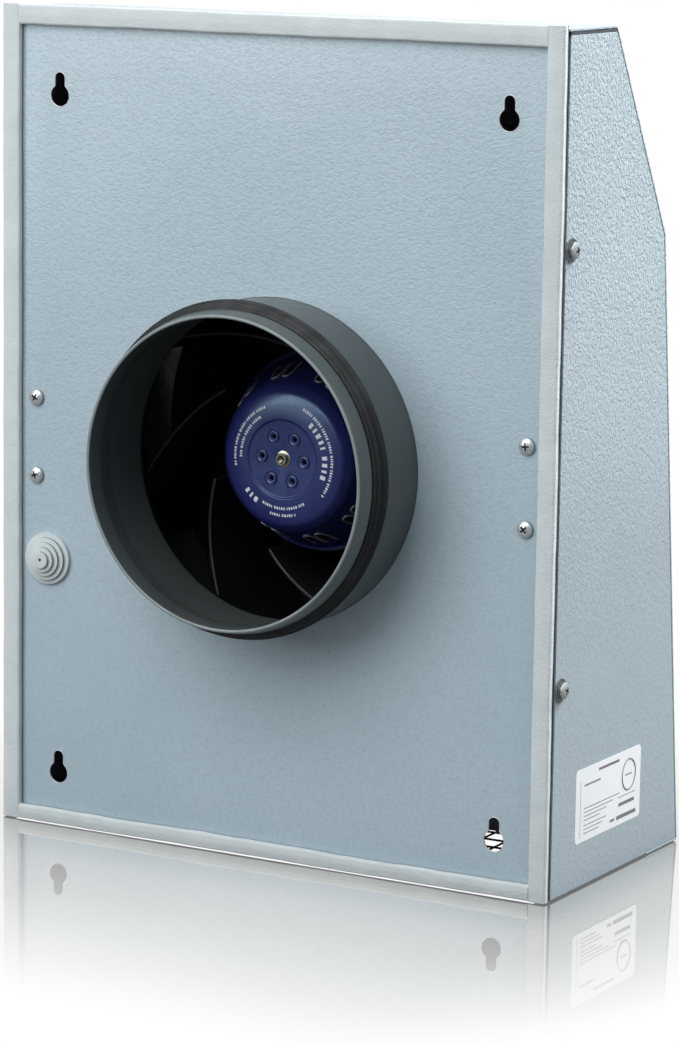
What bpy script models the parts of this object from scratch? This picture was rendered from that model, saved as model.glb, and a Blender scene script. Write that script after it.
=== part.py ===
"""Wall-mounted centrifugal exhaust fan: folded casing, duct spigot, external-rotor motor.

Frame: +X right, +Y from the wall towards the room side, +Z up, in metres. The origin is at the
bottom centre of the whole object's box. A "depth" is a distance from the wall plane, the outer
face of the foam seal, along +Y. The impeller turns about an axis along Y at height AXIS_Z.
"""

from math import asin, cos, pi, radians, sin, tan

import bmesh
import bpy
from mathutils import Vector

MM = 0.001
GAP = 0.3 * MM                    # left between two pieces that touch

# Casing
CASE_W = 303.4 * MM
CASE_H = 402.9 * MM
SHEET = 1.0 * MM                  # cover and back plate
DEPTH_TOP = 52.8 * MM             # the cover's depth at its top edge,
DEPTH_BEND = 110.5 * MM           # at the bend below the slope,
DEPTH_FOOT = 143.5 * MM           # and at the bottom edge
BEND_Z = 302.8 * MM
FOLD_R = 3.0 * MM                 # outer radius of the folds
OUTLET_DEPTH = 108.7 * MM         # the bottom is open from the back plate to here
SIDE_X = CASE_W / 2
INNER_X = SIDE_X - SHEET

# Foam seal and back plate
FOAM_T = 4.0 * MM                 # also the depth of the back plate's outer face
FOAM_W = 10.2 * MM
FOAM_BOTTOM_W = 7.8 * MM
FOAM_OVER_LEFT = 2.0 * MM         # the strips are laid by hand and stand out past the casing
FOAM_OVER_RIGHT = 0.6 * MM
FOAM_OVER_TOP = 1.8 * MM
PLATE_EDGE = 14.0 * MM            # depth of the folded edges
KEY_X = 122.3 * MM
KEY_Z = (25.6 * MM, 361.1 * MM)   # centres of the round parts of the keyholes
KEY_HEAD_R = 5.35 * MM
KEY_SLOT_W = 5.8 * MM
KEY_RISE = 8.4 * MM               # from the round part's centre to the slot's end centre

# Duct spigot
AXIS_Z = 193.5 * MM
SPIGOT_REACH = 44.2 * MM          # how far it stands out past the wall plane
LIP_R = 74.5 * MM
TIP_R = 76.4 * MM
COLLAR_R = 78.3 * MM
SPIGOT_WALL = 1.5 * MM
SPIGOT_FLANGE_R = 88.0 * MM
SEAL_R = 81.0 * MM                # the tallest of the seal's lips

# Fasteners
SCREW_HEAD_R = 4.0 * MM
SCREW_HEAD_H = 2.6 * MM
SCREW_R = 1.95 * MM
HOLE_R = 2.4 * MM
BRACKET_SCREW_X = 135.3 * MM
BRACKET_SCREW_Z = (174.6 * MM, 213.1 * MM)
COVER_SCREW_DEPTH = 11.0 * MM
COVER_SCREW_Z = (99.8 * MM, 303.4 * MM)
WASHER_R = 5.6 * MM
WASHER_T = 1.0 * MM

# Motor, by depth from the wall plane
SHAFT_TIP = 10.7 * MM
CAP_FACE = 12.0 * MM
CAP_FLAT_R = 31.0 * MM
CONE_FRONT = (35.0 * MM, 16.0 * MM)       # radius and depth where the cup's cone starts
CONE_REAR = (47.4 * MM, 45.8 * MM)        # and where it ends, at the rim
RIM_FACE = 46.0 * MM
RIM_REAR = 48.0 * MM
RIM_R = 49.0 * MM
CUP_R = 46.5 * MM
CUP_WALL = 2.5 * MM
CUP_END = 86.0 * MM
CUP_HOLE_RING = 11.65 * MM
CUP_HOLE_R = 2.0 * MM
SHAFT_R = 4.0 * MM
BEARING_R = 11.0 * MM
BEARING_W = 7.0 * MM
BEARING_DEPTHS = (44.0 * MM, 80.0 * MM)
FLANGE_R = 45.0 * MM
FLANGE_FACE = 98.0 * MM
WEB_FACE = 104.0 * MM             # the bracket's face that carries the motor
BRACKET_T = 1.5 * MM
BRACKET_LEG_X = 124.0 * MM
BRACKET_FOOT_X = 146.0 * MM
BRACKET_HALF_H = 35.5 * MM
MOTOR_SCREW_RING = 30.0 * MM
TUBE_R = 14.0 * MM                # the stator's bearing tube
CORE_R = 37.5 * MM
CORE_DEPTHS = (47.0 * MM, 76.0 * MM)
CAGE_R = 38.2 * MM                # inner radius of the rotor's iron ring
WINDING_R = (18.0 * MM, 35.0 * MM)
WINDING_DEPTHS = (36.0 * MM, 90.0 * MM)
RACE_R = (6.4 * MM, 8.5 * MM)     # outside of a bearing's inner ring, inside of its outer ring

# Impeller
BLADES = 7
WHEEL_R = 110.0 * MM
HUB_R = 50.0 * MM
DISC_DEPTH = 88.0 * MM            # rear face of the back disc
DISC_T = 2.0 * MM
EYE_R = 79.5 * MM
RING_FACE = 9.0 * MM
RING_FLARE = 11.0 * MM            # the ring's bore starts to flare here,
RING_REAR = 28.0 * MM             # and ends here, at the rim
RING_T = 2.0 * MM
BLADE_T = 2.0 * MM
BLADE_LEAN = (radians(63), radians(45))   # from radial, at the hub and at the rim
BLADE_PHASE = radians(-113)

# Wire mesh over the outlet
MESH_PITCH = 12.7 * MM
MESH_WIRE = 1.1 * MM
MESH_X0 = 73.5 * MM - 6 * MESH_PITCH      # a wire lies here
MESH_DEPTH0 = 70.7 * MM - 5 * MESH_PITCH

# Electrical parts
GROMMET_X, GROMMET_Z = -128.4 * MM, 133.5 * MM
GROMMET_STEPS = ((12.8, 3.5), (10.6, 2.1), (8.4, 0.5), (6.3, -1.0), (4.2, -2.5))   # radius, rear; in mm
GROMMET_TIP = -4.0 * MM
GROMMET_HOLE_R = 11.0 * MM        # of the back plate
BOX_X = (-148.5 * MM, -107.0 * MM)
BOX_Z = (107.0 * MM, 155.0 * MM)
BOX_DEPTH = 40.0 * MM
BOX_WALL = 2.0 * MM
CAPACITOR_R = 14.0 * MM
CAPACITOR_X = (-104.0 * MM, -46.0 * MM)
CAPACITOR_Z = 342.0 * MM
LEAD_R = 2.6 * MM
LEAD_X, LEAD_DEPTH = -143.0 * MM, 13.0 * MM           # the capacitor's lead passes the bracket here
MOTOR_LEAD_X, MOTOR_LEAD_Z = -114.0 * MM, 131.0 * MM  # the motor's lead enters the box lid here
LABEL_DEPTH = (30.0 * MM, 99.5 * MM)
LABEL_Z = (21.7 * MM, 57.2 * MM)
LABEL_CORNER = 2.5 * MM

WALL_Y = (SPIGOT_REACH - DEPTH_FOOT) / 2
PLATE_BACK = FOAM_T + SHEET       # depth of the back plate's inner face
ROUND = 40                        # sides of the large round pieces,
MIDDLE = 24                       # of the middling ones,
SMALL = 10                        # and of the fasteners and small holes


def y_at(depth):
    """World Y of a distance from the wall plane."""
    return WALL_Y + depth


# Helpers ------------------------------------------------------------------------------------------

def clear_scene():
    for obj in list(bpy.data.objects):
        bpy.data.objects.remove(obj, do_unlink=True)


def make_material(name, colour, roughness, metallic):
    mat = bpy.data.materials.new(name)
    mat.use_nodes = True
    shader = mat.node_tree.nodes["Principled BSDF"]
    shader.inputs["Base Color"].default_value = (*colour, 1.0)
    shader.inputs["Roughness"].default_value = roughness
    shader.inputs["Metallic"].default_value = metallic
    mat.diffuse_color = (*colour, 1.0)
    return mat


def new_object(name, bm, mat=None):
    bmesh.ops.recalc_face_normals(bm, faces=bm.faces)
    mesh = bpy.data.meshes.new(name)
    bm.to_mesh(mesh)
    bm.free()
    obj = bpy.data.objects.new(name, mesh)
    bpy.context.collection.objects.link(obj)
    if mat:
        mesh.materials.append(mat)
    return obj


def smooth(obj, angle=35):
    obj.data.shade_smooth()
    obj.data.set_sharp_from_angle(angle=radians(angle))
    return obj


def box(name, low, high, mat=None):
    bm = bmesh.new()
    bmesh.ops.create_cube(bm, size=1.0)
    for vert in bm.verts:
        for axis in range(3):
            middle = (low[axis] + high[axis]) / 2
            vert.co[axis] = middle + vert.co[axis] * (high[axis] - low[axis])
    return new_object(name, bm, mat)


def prism(name, outline, place, low, high, mat=None):
    """Extrude a closed outline; place(a, b, c) gives the point at (a, b) and extrusion c."""
    bm = bmesh.new()
    ends = [[bm.verts.new(place(a, b, c)) for a, b in outline] for c in (low, high)]
    bm.faces.new(ends[0])
    bm.faces.new(ends[1])
    count = len(outline)
    for i in range(count):
        j = (i + 1) % count
        bm.faces.new((ends[0][i], ends[0][j], ends[1][j], ends[1][i]))
    return new_object(name, bm, mat)


def along_x(a, b, c):
    """(depth, z) outlines extruded along X."""
    return Vector((c, y_at(a), b))


def along_z(a, b, c):
    """(x, depth) outlines extruded along Z."""
    return Vector((a, y_at(b), c))


def along_depth(a, b, c):
    """(x, z) outlines extruded along the depth."""
    return Vector((a, y_at(c), b))


def turned(name, profile, mat=None, centre=(0.0, AXIS_Z), sides=ROUND):
    """Spin a closed (radius, depth) profile about an axis along Y through centre (x, z).

    A profile may start and end on the axis; otherwise it is a closed loop round it.
    """
    bm = bmesh.new()
    rings = []
    for radius, depth in profile:
        if radius < 1e-9:
            rings.append([bm.verts.new((centre[0], y_at(depth), centre[1]))])
            continue
        turns = [2 * pi * k / sides for k in range(sides)]
        rings.append([bm.verts.new((centre[0] + radius * cos(t), y_at(depth), centre[1] + radius * sin(t)))
                      for t in turns])
    solid = len(rings[0]) == 1
    for i in range(len(rings) - (1 if solid else 0)):
        near, far = rings[i], rings[(i + 1) % len(rings)]
        for k in range(sides):
            m = (k + 1) % sides
            corners = [near[k % len(near)], near[m % len(near)], far[m % len(far)], far[k % len(far)]]
            bm.faces.new(list(dict.fromkeys(corners)))
    return smooth(new_object(name, bm, mat))


def rod(name, start, end, radius, mat=None, sides=SMALL):
    """A plain cylinder between two world points."""
    start, end = Vector(start), Vector(end)
    along = end - start
    bm = bmesh.new()
    bmesh.ops.create_cone(bm, cap_ends=True, segments=sides, radius1=radius, radius2=radius,
                          depth=along.length)
    turn = along.to_track_quat("Z", "Y").to_matrix().to_4x4()
    bmesh.ops.transform(bm, matrix=turn, verts=bm.verts)
    bmesh.ops.translate(bm, vec=(start + end) / 2, verts=bm.verts)
    return smooth(new_object(name, bm, mat))


def combine(target, others, operation):
    """Boolean the other objects into the target one after another, and remove them."""
    for other in others:
        modifier = target.modifiers.new("combine", "BOOLEAN")
        modifier.operation = operation
        modifier.solver = "EXACT"
        modifier.object = other
        graph = bpy.context.evaluated_depsgraph_get()
        mesh = bpy.data.meshes.new_from_object(target.evaluated_get(graph))
        target.modifiers.clear()
        target.data = mesh
        bpy.data.objects.remove(other, do_unlink=True)
    return target


def cut(target, *cutters):
    return combine(target, cutters, "DIFFERENCE")


def join(target, *others):
    return combine(target, others, "UNION")


def depth_hole(x, z, radius, near, far, sides=SMALL):
    """A cutter for a round hole along the depth."""
    return rod("cutter", (x, y_at(near), z), (x, y_at(far), z), radius, sides=sides)


def offset_outline(points, distance):
    """Move every side of a convex, clockwise or anticlockwise outline inwards by distance."""
    middle = sum((Vector(p) for p in points), Vector((0, 0))) / len(points)
    lines = []
    for i, point in enumerate(points):
        a, b = Vector(point), Vector(points[(i + 1) % len(points)])
        normal = Vector((-(b - a).y, (b - a).x)).normalized()
        if normal.dot(middle - a) < 0:
            normal = -normal
        lines.append((a + normal * distance, (b - a).normalized()))
    moved = []
    for i in range(len(lines)):
        (p, d), (q, e) = lines[i - 1], lines[i]
        run = (q - p).cross(e) / d.cross(e)
        moved.append(tuple(p + d * run))
    return moved


def fillet(points, radii, steps=4):
    """Round the corners of an outline with arcs; a radius of 0 keeps a corner sharp."""
    rounded = []
    for i, point in enumerate(points):
        corner, radius = Vector(point), radii[i]
        if radius <= 0:
            rounded.append(tuple(corner))
            continue
        before = (Vector(points[i - 1]) - corner).normalized()
        after = (Vector(points[(i + 1) % len(points)]) - corner).normalized()
        half = before.angle(after) / 2
        centre = corner + (before + after).normalized() * radius / sin(half)
        start = corner + before * radius / tan(half) - centre
        sweep = pi - 2 * half
        if before.cross(after) > 0:
            sweep = -sweep
        for k in range(steps + 1):
            turn = sweep * k / steps
            rounded.append((centre.x + start.x * cos(turn) - start.y * sin(turn),
                            centre.y + start.x * sin(turn) + start.y * cos(turn)))
    return rounded


# Casing -------------------------------------------------------------------------------------------

def cover_outline():
    return [(FOAM_T, 0.0), (DEPTH_FOOT, 0.0), (DEPTH_BEND, BEND_Z), (DEPTH_TOP, CASE_H), (FOAM_T, CASE_H)]


def make_outer_cover(mat):
    outline = cover_outline()
    shell = prism("outer_cover", fillet(outline, (0, 0, FOLD_R, FOLD_R, 0)), along_x, -SIDE_X, SIDE_X, mat)
    inside = offset_outline(outline, SHEET)
    for corner in (0, -1):
        inside[corner] = (FOAM_T - SHEET, inside[corner][1])
    inner_r = FOLD_R - SHEET
    hollow = prism("cutter", fillet(inside, (0, 0, inner_r, inner_r, 0)), along_x, -INNER_X, INNER_X)
    outlet = box("cutter", (-INNER_X, y_at(0), -SHEET), (INNER_X, y_at(OUTLET_DEPTH), 2 * SHEET))
    holes = []
    for side in (-1, 1):
        for z in COVER_SCREW_Z:
            y = y_at(COVER_SCREW_DEPTH)
            outer, inner = side * (SIDE_X + SHEET), side * (INNER_X - SHEET)
            holes.append(rod("cutter", (outer, y, z), (inner, y, z), HOLE_R))
    return cut(shell, hollow, outlet, *holes)


def keyhole(x, z):
    """A cutter: a round part with a narrower, round-ended slot going up from it."""
    half = KEY_SLOT_W / 2
    start = asin(half / KEY_HEAD_R)
    outline = []
    for k in range(15):
        turn = pi / 2 + start + (2 * pi - 2 * start) * k / 14
        outline.append((x + KEY_HEAD_R * cos(turn), z + KEY_HEAD_R * sin(turn)))
    for k in range(7):
        turn = pi * k / 6
        outline.append((x + half * cos(turn), z + KEY_RISE + half * sin(turn)))
    return prism("cutter", outline, along_depth, FOAM_T - SHEET, PLATE_BACK + SHEET)


def make_back_plate(mat):
    """A tray: the flat plate with its left, right, top and bottom edges folded forward."""
    half_w = INNER_X - GAP
    top = CASE_H - SHEET - GAP
    tray = box("back_plate", (-half_w, y_at(FOAM_T), 0.0), (half_w, y_at(FOAM_T + PLATE_EDGE), top), mat)
    hollow = box("cutter", (-half_w + SHEET, y_at(PLATE_BACK), SHEET),
                 (half_w - SHEET, y_at(FOAM_T + 2 * PLATE_EDGE), top - SHEET))
    duct = depth_hole(0, AXIS_Z, COLLAR_R + GAP, 0, 2 * FOAM_T, sides=ROUND)
    cutters = [hollow, duct, depth_hole(GROMMET_X, GROMMET_Z, GROMMET_HOLE_R, 0, 2 * FOAM_T, sides=MIDDLE)]
    cutters += [keyhole(side * KEY_X, z) for side in (-1, 1) for z in KEY_Z]
    cutters += [depth_hole(side * BRACKET_SCREW_X, z, HOLE_R, 0, 2 * FOAM_T)
                for side in (-1, 1) for z in BRACKET_SCREW_Z]
    y = y_at(COVER_SCREW_DEPTH)
    cutters += [rod("cutter", (side * SIDE_X, y, z), (side * (half_w - 2 * SHEET), y, z), HOLE_R)
                for side in (-1, 1) for z in COVER_SCREW_Z]
    return cut(tray, *cutters)


def make_foam_seal(mat):
    """Four strips; the upright ones run the full height and the others butt between them."""
    soft = 1.6 * MM
    back = FOAM_T - GAP
    top = CASE_H + FOAM_OVER_TOP
    left, right = -SIDE_X - FOAM_OVER_LEFT, SIDE_X + FOAM_OVER_RIGHT
    uprights = (("foam_seal_left", left + FOAM_W, left), ("foam_seal_right", right - FOAM_W, right))
    for name, inner, outer in uprights:
        outline = [(inner, back), (inner, 0), (outer, 0), (outer, back)]
        smooth(prism(name, fillet(outline, (0, soft, soft, 0)), along_z, 0, top, mat))
    start, end = left + FOAM_W + GAP, right - FOAM_W - GAP
    strips = (("foam_seal_bottom", 0, FOAM_BOTTOM_W), ("foam_seal_top", top - FOAM_W, top))
    for name, low, high in strips:
        outline = [(back, low), (0, low), (0, high), (back, high)]
        smooth(prism(name, fillet(outline, (0, soft, soft, 0)), along_x, start, end, mat))


def make_spigot(mat, rubber):
    """A collar with a tapered tip, a groove for the seal and a flange behind the back plate."""
    groove_r = TIP_R - 0.6 * MM
    groove = (-34.9 * MM, -24.0 * MM)
    flange_t = 1.2 * MM
    flange_face = PLATE_BACK + GAP
    profile = [(LIP_R, -SPIGOT_REACH), (TIP_R, -35.5 * MM), (groove_r, groove[0]), (groove_r, groove[1]),
               (COLLAR_R, groove[1] + 0.6 * MM), (COLLAR_R, flange_face), (SPIGOT_FLANGE_R, flange_face),
               (SPIGOT_FLANGE_R, flange_face + flange_t), (TIP_R, flange_face + flange_t),
               (TIP_R, -14.0 * MM), (TIP_R - 0.5 * MM, -15.0 * MM), (groove_r - SPIGOT_WALL, -26.0 * MM),
               (LIP_R - SPIGOT_WALL, -SPIGOT_REACH)]
    turned("duct_spigot", profile, mat)
    base_r = groove_r + GAP
    small_lip, dip = SEAL_R - 2 * MM, SEAL_R - 2.8 * MM
    lips = [(small_lip, -33.0 * MM), (dip, -31.6 * MM), (SEAL_R, -28.0 * MM), (small_lip, -25.2 * MM)]
    seal = [(base_r, groove[0] + GAP)] + lips + [(base_r, groove[1] - GAP)]
    turned("spigot_seal", seal, rubber)


def pan_screw(name, seat, inward, length, mat):
    """A pan-head screw: its head stands on the point seat, and its shank runs inward."""
    seat, inward = Vector(seat), Vector(inward).normalized()
    top = SCREW_HEAD_H
    profile = [(0, -top), (SCREW_HEAD_R * 0.7, -top), (SCREW_HEAD_R, -top * 0.5), (SCREW_HEAD_R, 0),
               (SCREW_R, 0), (SCREW_R, length - SCREW_R), (0, length)]
    bm = bmesh.new()
    sides = SMALL
    turn = inward.to_track_quat("Z", "Y").to_matrix()
    rings = []
    for radius, along in profile:
        angles = [2 * pi * k / sides for k in range(sides if radius > 0 else 1)]
        rings.append([bm.verts.new(seat + turn @ Vector((radius * cos(a), radius * sin(a), along)))
                      for a in angles])
    for near, far in zip(rings, rings[1:]):
        for k in range(sides):
            m = (k + 1) % sides
            corners = [near[k % len(near)], near[m % len(near)], far[m % len(far)], far[k % len(far)]]
            bm.faces.new(list(dict.fromkeys(corners)))
    return smooth(new_object(name, bm, mat))


def washer(name, centre, outward, mat):
    """A flat ring that stands on centre and is WASHER_T thick towards outward."""
    centre, outward = Vector(centre), Vector(outward)
    ring = rod(name, centre, centre + outward * WASHER_T, WASHER_R, mat, sides=16)
    hole = rod("cutter", centre - outward * WASHER_T, centre + outward * 2 * WASHER_T, HOLE_R)
    return smooth(cut(ring, hole))


def make_casing_screws(mat):
    for i, (side, z) in enumerate([(s, z) for s in (-1, 1) for z in BRACKET_SCREW_Z], 1):
        seat = (side * BRACKET_SCREW_X, y_at(FOAM_T - GAP), z)
        pan_screw(f"bracket_screw_{i}", seat, (0, 1, 0), 9.0 * MM, mat)
    for i, (side, z) in enumerate([(s, z) for s in (-1, 1) for z in COVER_SCREW_Z], 1):
        y = y_at(COVER_SCREW_DEPTH)
        washer(f"cover_washer_{i}", (side * (SIDE_X + GAP), y, z), (side, 0, 0), mat)
        seat = (side * (SIDE_X + WASHER_T + 2 * GAP), y, z)
        pan_screw(f"cover_screw_{i}", seat, (-side, 0, 0), 9.0 * MM, mat)


def make_grommet(mat):
    """Stepped cone, hollow from inside the casing, with a small hole in its tip."""
    eye_r, skin, neck_r = 1.3 * MM, 1.6 * MM, GROMMET_HOLE_R - GAP
    bore_r, rear = 9.0 * MM, PLATE_BACK + 2.2 * MM
    profile = [(eye_r, GROMMET_TIP)]
    front = GROMMET_TIP
    for radius, step_rear in reversed(GROMMET_STEPS):
        profile += [(radius * MM, front), (radius * MM, step_rear * MM)]
        front = step_rear * MM
    flange_r = GROMMET_STEPS[0][0] * MM
    profile = profile[:-1] + [(flange_r, FOAM_T - GAP), (neck_r, FOAM_T - GAP), (neck_r, PLATE_BACK + GAP),
                              (12.6 * MM, PLATE_BACK + GAP), (12.0 * MM, rear), (bore_r, rear),
                              (bore_r, 3.6 * MM), (2.8 * MM, GROMMET_TIP + skin), (eye_r, GROMMET_TIP + skin)]
    turned("cable_grommet", profile, mat, centre=(GROMMET_X, GROMMET_Z), sides=20)


def make_label(mat):
    """A thin rounded rectangle on the right side."""
    (near, far), (low, high) = LABEL_DEPTH, LABEL_Z
    outline = [(near, low), (far, low), (far, high), (near, high)]
    prism("rating_label", fillet(outline, (LABEL_CORNER,) * 4), along_x, SIDE_X + GAP, SIDE_X + 2 * GAP, mat)


def make_outlet_guard(mat):
    """Welded wires both ways, drawn as one flat grid with the real pitch and wire size."""
    half_x = INNER_X - GAP - SHEET - GAP
    low_z = SHEET + GAP
    near, far = PLATE_BACK + GAP, OUTLET_DEPTH + 3.5 * MM
    grid = box("outlet_guard", (-half_x, y_at(near), low_z), (half_x, y_at(far), low_z + MESH_WIRE), mat)
    half_wire = MESH_WIRE / 2
    columns = [MESH_X0 + k * MESH_PITCH for k in range(-11, 12)]
    rows = [MESH_DEPTH0 + k * MESH_PITCH for k in range(0, 8)]
    bm = bmesh.new()
    for x0, x1 in zip(columns, columns[1:]):
        for d0, d1 in zip(rows, rows[1:]):
            lows = (x0 + half_wire, y_at(d0 + half_wire), 0.0)
            highs = (x1 - half_wire, y_at(d1 - half_wire), 4 * SHEET)
            made = bmesh.ops.create_cube(bm, size=1.0)["verts"]
            for vert in made:
                vert.co = [(lows[a] + highs[a]) / 2 + vert.co[a] * (highs[a] - lows[a]) for a in range(3)]
    return cut(grid, new_object("cutter", bm))


# Motor --------------------------------------------------------------------------------------------

def make_motor_bracket(mat):
    """A hat shape: feet behind the back plate, legs beside the impeller, a web behind the motor."""
    foot = PLATE_BACK + GAP
    leg, inner = BRACKET_LEG_X, BRACKET_LEG_X - BRACKET_T
    web = WEB_FACE + BRACKET_T
    half = [(BRACKET_FOOT_X, foot), (BRACKET_FOOT_X, foot + BRACKET_T), (leg, foot + BRACKET_T), (leg, web)]
    back = [(inner, WEB_FACE), (inner, foot)]
    outline = half + [(-x, d) for x, d in reversed(half)] + [(-x, d) for x, d in reversed(back)] + back
    low, high = AXIS_Z - BRACKET_HALF_H, AXIS_Z + BRACKET_HALF_H
    bracket = prism("motor_bracket", outline, along_z, low, high, mat)
    holes = [depth_hole(side * BRACKET_SCREW_X, z, HOLE_R, 0, 4 * FOAM_T)
             for side in (-1, 1) for z in BRACKET_SCREW_Z]
    holes += [depth_hole(x, z, HOLE_R, WEB_FACE - SHEET, web + SHEET) for x, z in motor_screw_places()]
    holes.append(depth_hole(0, AXIS_Z, 12.0 * MM, WEB_FACE - SHEET, web + SHEET))
    return cut(bracket, *holes)


def motor_screw_places():
    turns = [pi / 4 + pi / 2 * k for k in range(4)]
    return [(MOTOR_SCREW_RING * cos(t), AXIS_Z + MOTOR_SCREW_RING * sin(t)) for t in turns]


def make_stator(steel, core, copper):
    """The fixed flange with its bearing tube, the laminated core and the two end windings."""
    seat_r = BEARING_R + GAP
    tube_front = BEARING_DEPTHS[0] - 2 * MM
    rear = WEB_FACE - GAP
    stop, eye_r = FLANGE_FACE - 4 * MM, 8.0 * MM
    profile = [(seat_r, tube_front), (TUBE_R, tube_front), (TUBE_R, FLANGE_FACE), (FLANGE_R, FLANGE_FACE),
               (FLANGE_R, rear), (eye_r, rear), (eye_r, stop), (seat_r, stop)]
    flange = turned("stator_flange", profile, steel, sides=MIDDLE)
    cut(flange, *[depth_hole(x, z, HOLE_R, FLANGE_FACE - SHEET, rear + SHEET)
                  for x, z in motor_screw_places()])
    ring("stator_core", TUBE_R + GAP, CORE_R, *CORE_DEPTHS, core)
    (low_r, high_r), soft = WINDING_R, 3.0 * MM
    ends = (("winding_front", WINDING_DEPTHS[0], CORE_DEPTHS[0] - GAP),
            ("winding_rear", CORE_DEPTHS[1] + GAP, WINDING_DEPTHS[1]))
    for name, near, far in ends:
        outline = fillet([(low_r, near), (high_r, near), (high_r, far), (low_r, far)], (soft,) * 4, 1)
        turned(name, outline, copper, sides=20)
    for i, (x, z) in enumerate(motor_screw_places(), 1):
        seat = (x, y_at(WEB_FACE + BRACKET_T + GAP), z)
        pan_screw(f"motor_screw_{i}", seat, (0, -1, 0), 7.0 * MM, steel)


def ring(name, inner, outer, near, far, mat, sides=MIDDLE):
    return turned(name, [(inner, near), (outer, near), (outer, far), (inner, far)], mat, sides=sides)


def make_bearings(mat):
    for name, near in zip(("front", "rear"), BEARING_DEPTHS):
        ring(f"bearing_outer_{name}", RACE_R[1], BEARING_R, near, near + BEARING_W, mat, 16)
        ring(f"bearing_inner_{name}", SHAFT_R + GAP, RACE_R[0], near, near + BEARING_W, mat, 16)


def make_rotor(paint, steel, iron):
    """The cup: a flat end with a round recess and six holes, a cone, a thin rim and a cylinder."""
    recess_r, recess = 18.5 * MM, CAP_FACE + 0.8 * MM
    bore = SHAFT_R + GAP
    boss_r, boss_end = 8.5 * MM, 30.0 * MM
    inside, hollow_top = CUP_R - CUP_WALL, CAP_FACE + 3.2 * MM
    cone = Vector(CONE_REAR) - Vector(CONE_FRONT)
    inwards = Vector((-cone.y, cone.x)).normalized() * CUP_WALL
    cone_inside = Vector(CONE_FRONT) + inwards
    meets = cone_inside.y + (inside - cone_inside.x) * cone.y / cone.x
    outline = [(CAP_FLAT_R, CAP_FACE), (34.0 * MM, CAP_FACE + 1.3 * MM), CONE_FRONT, CONE_REAR]
    profile = [(bore, recess), (recess_r, recess), (recess_r + 0.8 * MM, CAP_FACE)] + outline
    profile += [(RIM_R, RIM_FACE), (RIM_R, RIM_REAR), (CUP_R, RIM_REAR), (CUP_R, CUP_END),
                (inside, CUP_END), (inside, meets), tuple(cone_inside), (CAP_FLAT_R, hollow_top),
                (boss_r, hollow_top), (boss_r, boss_end), (bore, boss_end)]
    cup = turned("rotor_cup", profile, paint)
    turns = [radians(-3) + pi / 3 * k for k in range(6)]
    cut(cup, *[depth_hole(CUP_HOLE_RING * cos(t), AXIS_Z + CUP_HOLE_RING * sin(t), CUP_HOLE_R,
                          CAP_FACE - SHEET, hollow_top + SHEET) for t in turns])
    smooth(cup)
    tip_r, step, end = 3.0 * MM, CAP_FACE + MM, 95.0 * MM
    shaft = [(0, SHAFT_TIP), (tip_r, SHAFT_TIP), (tip_r, step), (SHAFT_R, step), (SHAFT_R, end), (0, end)]
    turned("rotor_shaft", shaft, steel, sides=16)
    ring("rotor_cage", CAGE_R, inside - GAP, CORE_DEPTHS[0] - MM, CORE_DEPTHS[1] + MM, iron)
    circlip = BEARING_DEPTHS[1] + BEARING_W + GAP
    ring("shaft_circlip", SHAFT_R + GAP, 6.6 * MM, circlip, circlip + MM, steel, 16)


# Impeller -----------------------------------------------------------------------------------------

def flare(fraction, offset=0.0):
    """(radius, depth) on the front ring's bore, from its throat (0) to its rim (1).

    A positive offset is a distance towards the blades, off the surface.
    """
    turn = pi / 2 * fraction
    wide, deep = WHEEL_R - EYE_R, RING_REAR - RING_FLARE
    radius, depth = EYE_R + wide * (1 - cos(turn)), RING_FLARE + deep * sin(turn)
    normal = Vector((-deep * cos(turn), wide * sin(turn))).normalized()
    return radius + normal.x * offset, depth + normal.y * offset


def make_front_ring(mat):
    steps = 4
    bore = [flare(k / steps) for k in range(steps + 1)]
    front = [flare(k / steps, -RING_T) for k in range(steps, -1, -1)]
    profile = [(EYE_R, RING_FACE)] + bore + front + [(EYE_R + RING_T, RING_FACE)]
    turned("impeller_front_ring", profile, mat)


def blade_turn(radius):
    """Angle of a blade's middle line at a radius: its lean eases from the hub to the rim."""
    turn, steps = 0.0, 40
    step = (radius - HUB_R) / steps
    for k in range(steps):
        here = HUB_R + step * (k + 0.5)
        lean = BLADE_LEAN[0] + (BLADE_LEAN[1] - BLADE_LEAN[0]) * (here - HUB_R) / (WHEEL_R - HUB_R)
        turn += tan(lean) / here * step
    return turn


def blade_front_edge():
    """(radius, depth) along a blade's front edge, from the hub, under the ring, to the tip."""
    meets, clear = 0.23, 3 * GAP
    start, corner = (HUB_R + BLADE_T / 2 + GAP, 30.0 * MM), flare(meets, clear)
    edge = [(start[0] + (corner[0] - start[0]) * k / 4, start[1] + (corner[1] - start[1]) * k / 4)
            for k in range(4)]
    edge += [flare(meets + (0.96 - meets) * k / 4, clear) for k in range(5)]
    return edge


def make_blade(name, phase, mat):
    edge = blade_front_edge()
    rear = DISC_DEPTH - DISC_T - GAP
    middles = []
    for radius, depth in edge:
        turn = phase + blade_turn(radius)
        middles.append((Vector((radius * cos(turn), radius * sin(turn))), depth))
    bm = bmesh.new()
    stations = []
    for i, (point, depth) in enumerate(middles):
        ahead = middles[min(i + 1, len(middles) - 1)][0]
        behind = middles[max(i - 1, 0)][0]
        along = (ahead - behind).normalized()
        side = Vector((-along.y, along.x)) * BLADE_T / 2
        corners = [(point + side, depth), (point - side, depth), (point - side, rear), (point + side, rear)]
        stations.append([bm.verts.new((p.x, y_at(d), AXIS_Z + p.y)) for p, d in corners])
    bm.faces.new(stations[0])
    bm.faces.new(stations[-1])
    for near, far in zip(stations, stations[1:]):
        for k in range(4):
            bm.faces.new((near[k], near[(k + 1) % 4], far[(k + 1) % 4], far[k]))
    return smooth(new_object(name, bm, mat))


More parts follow.
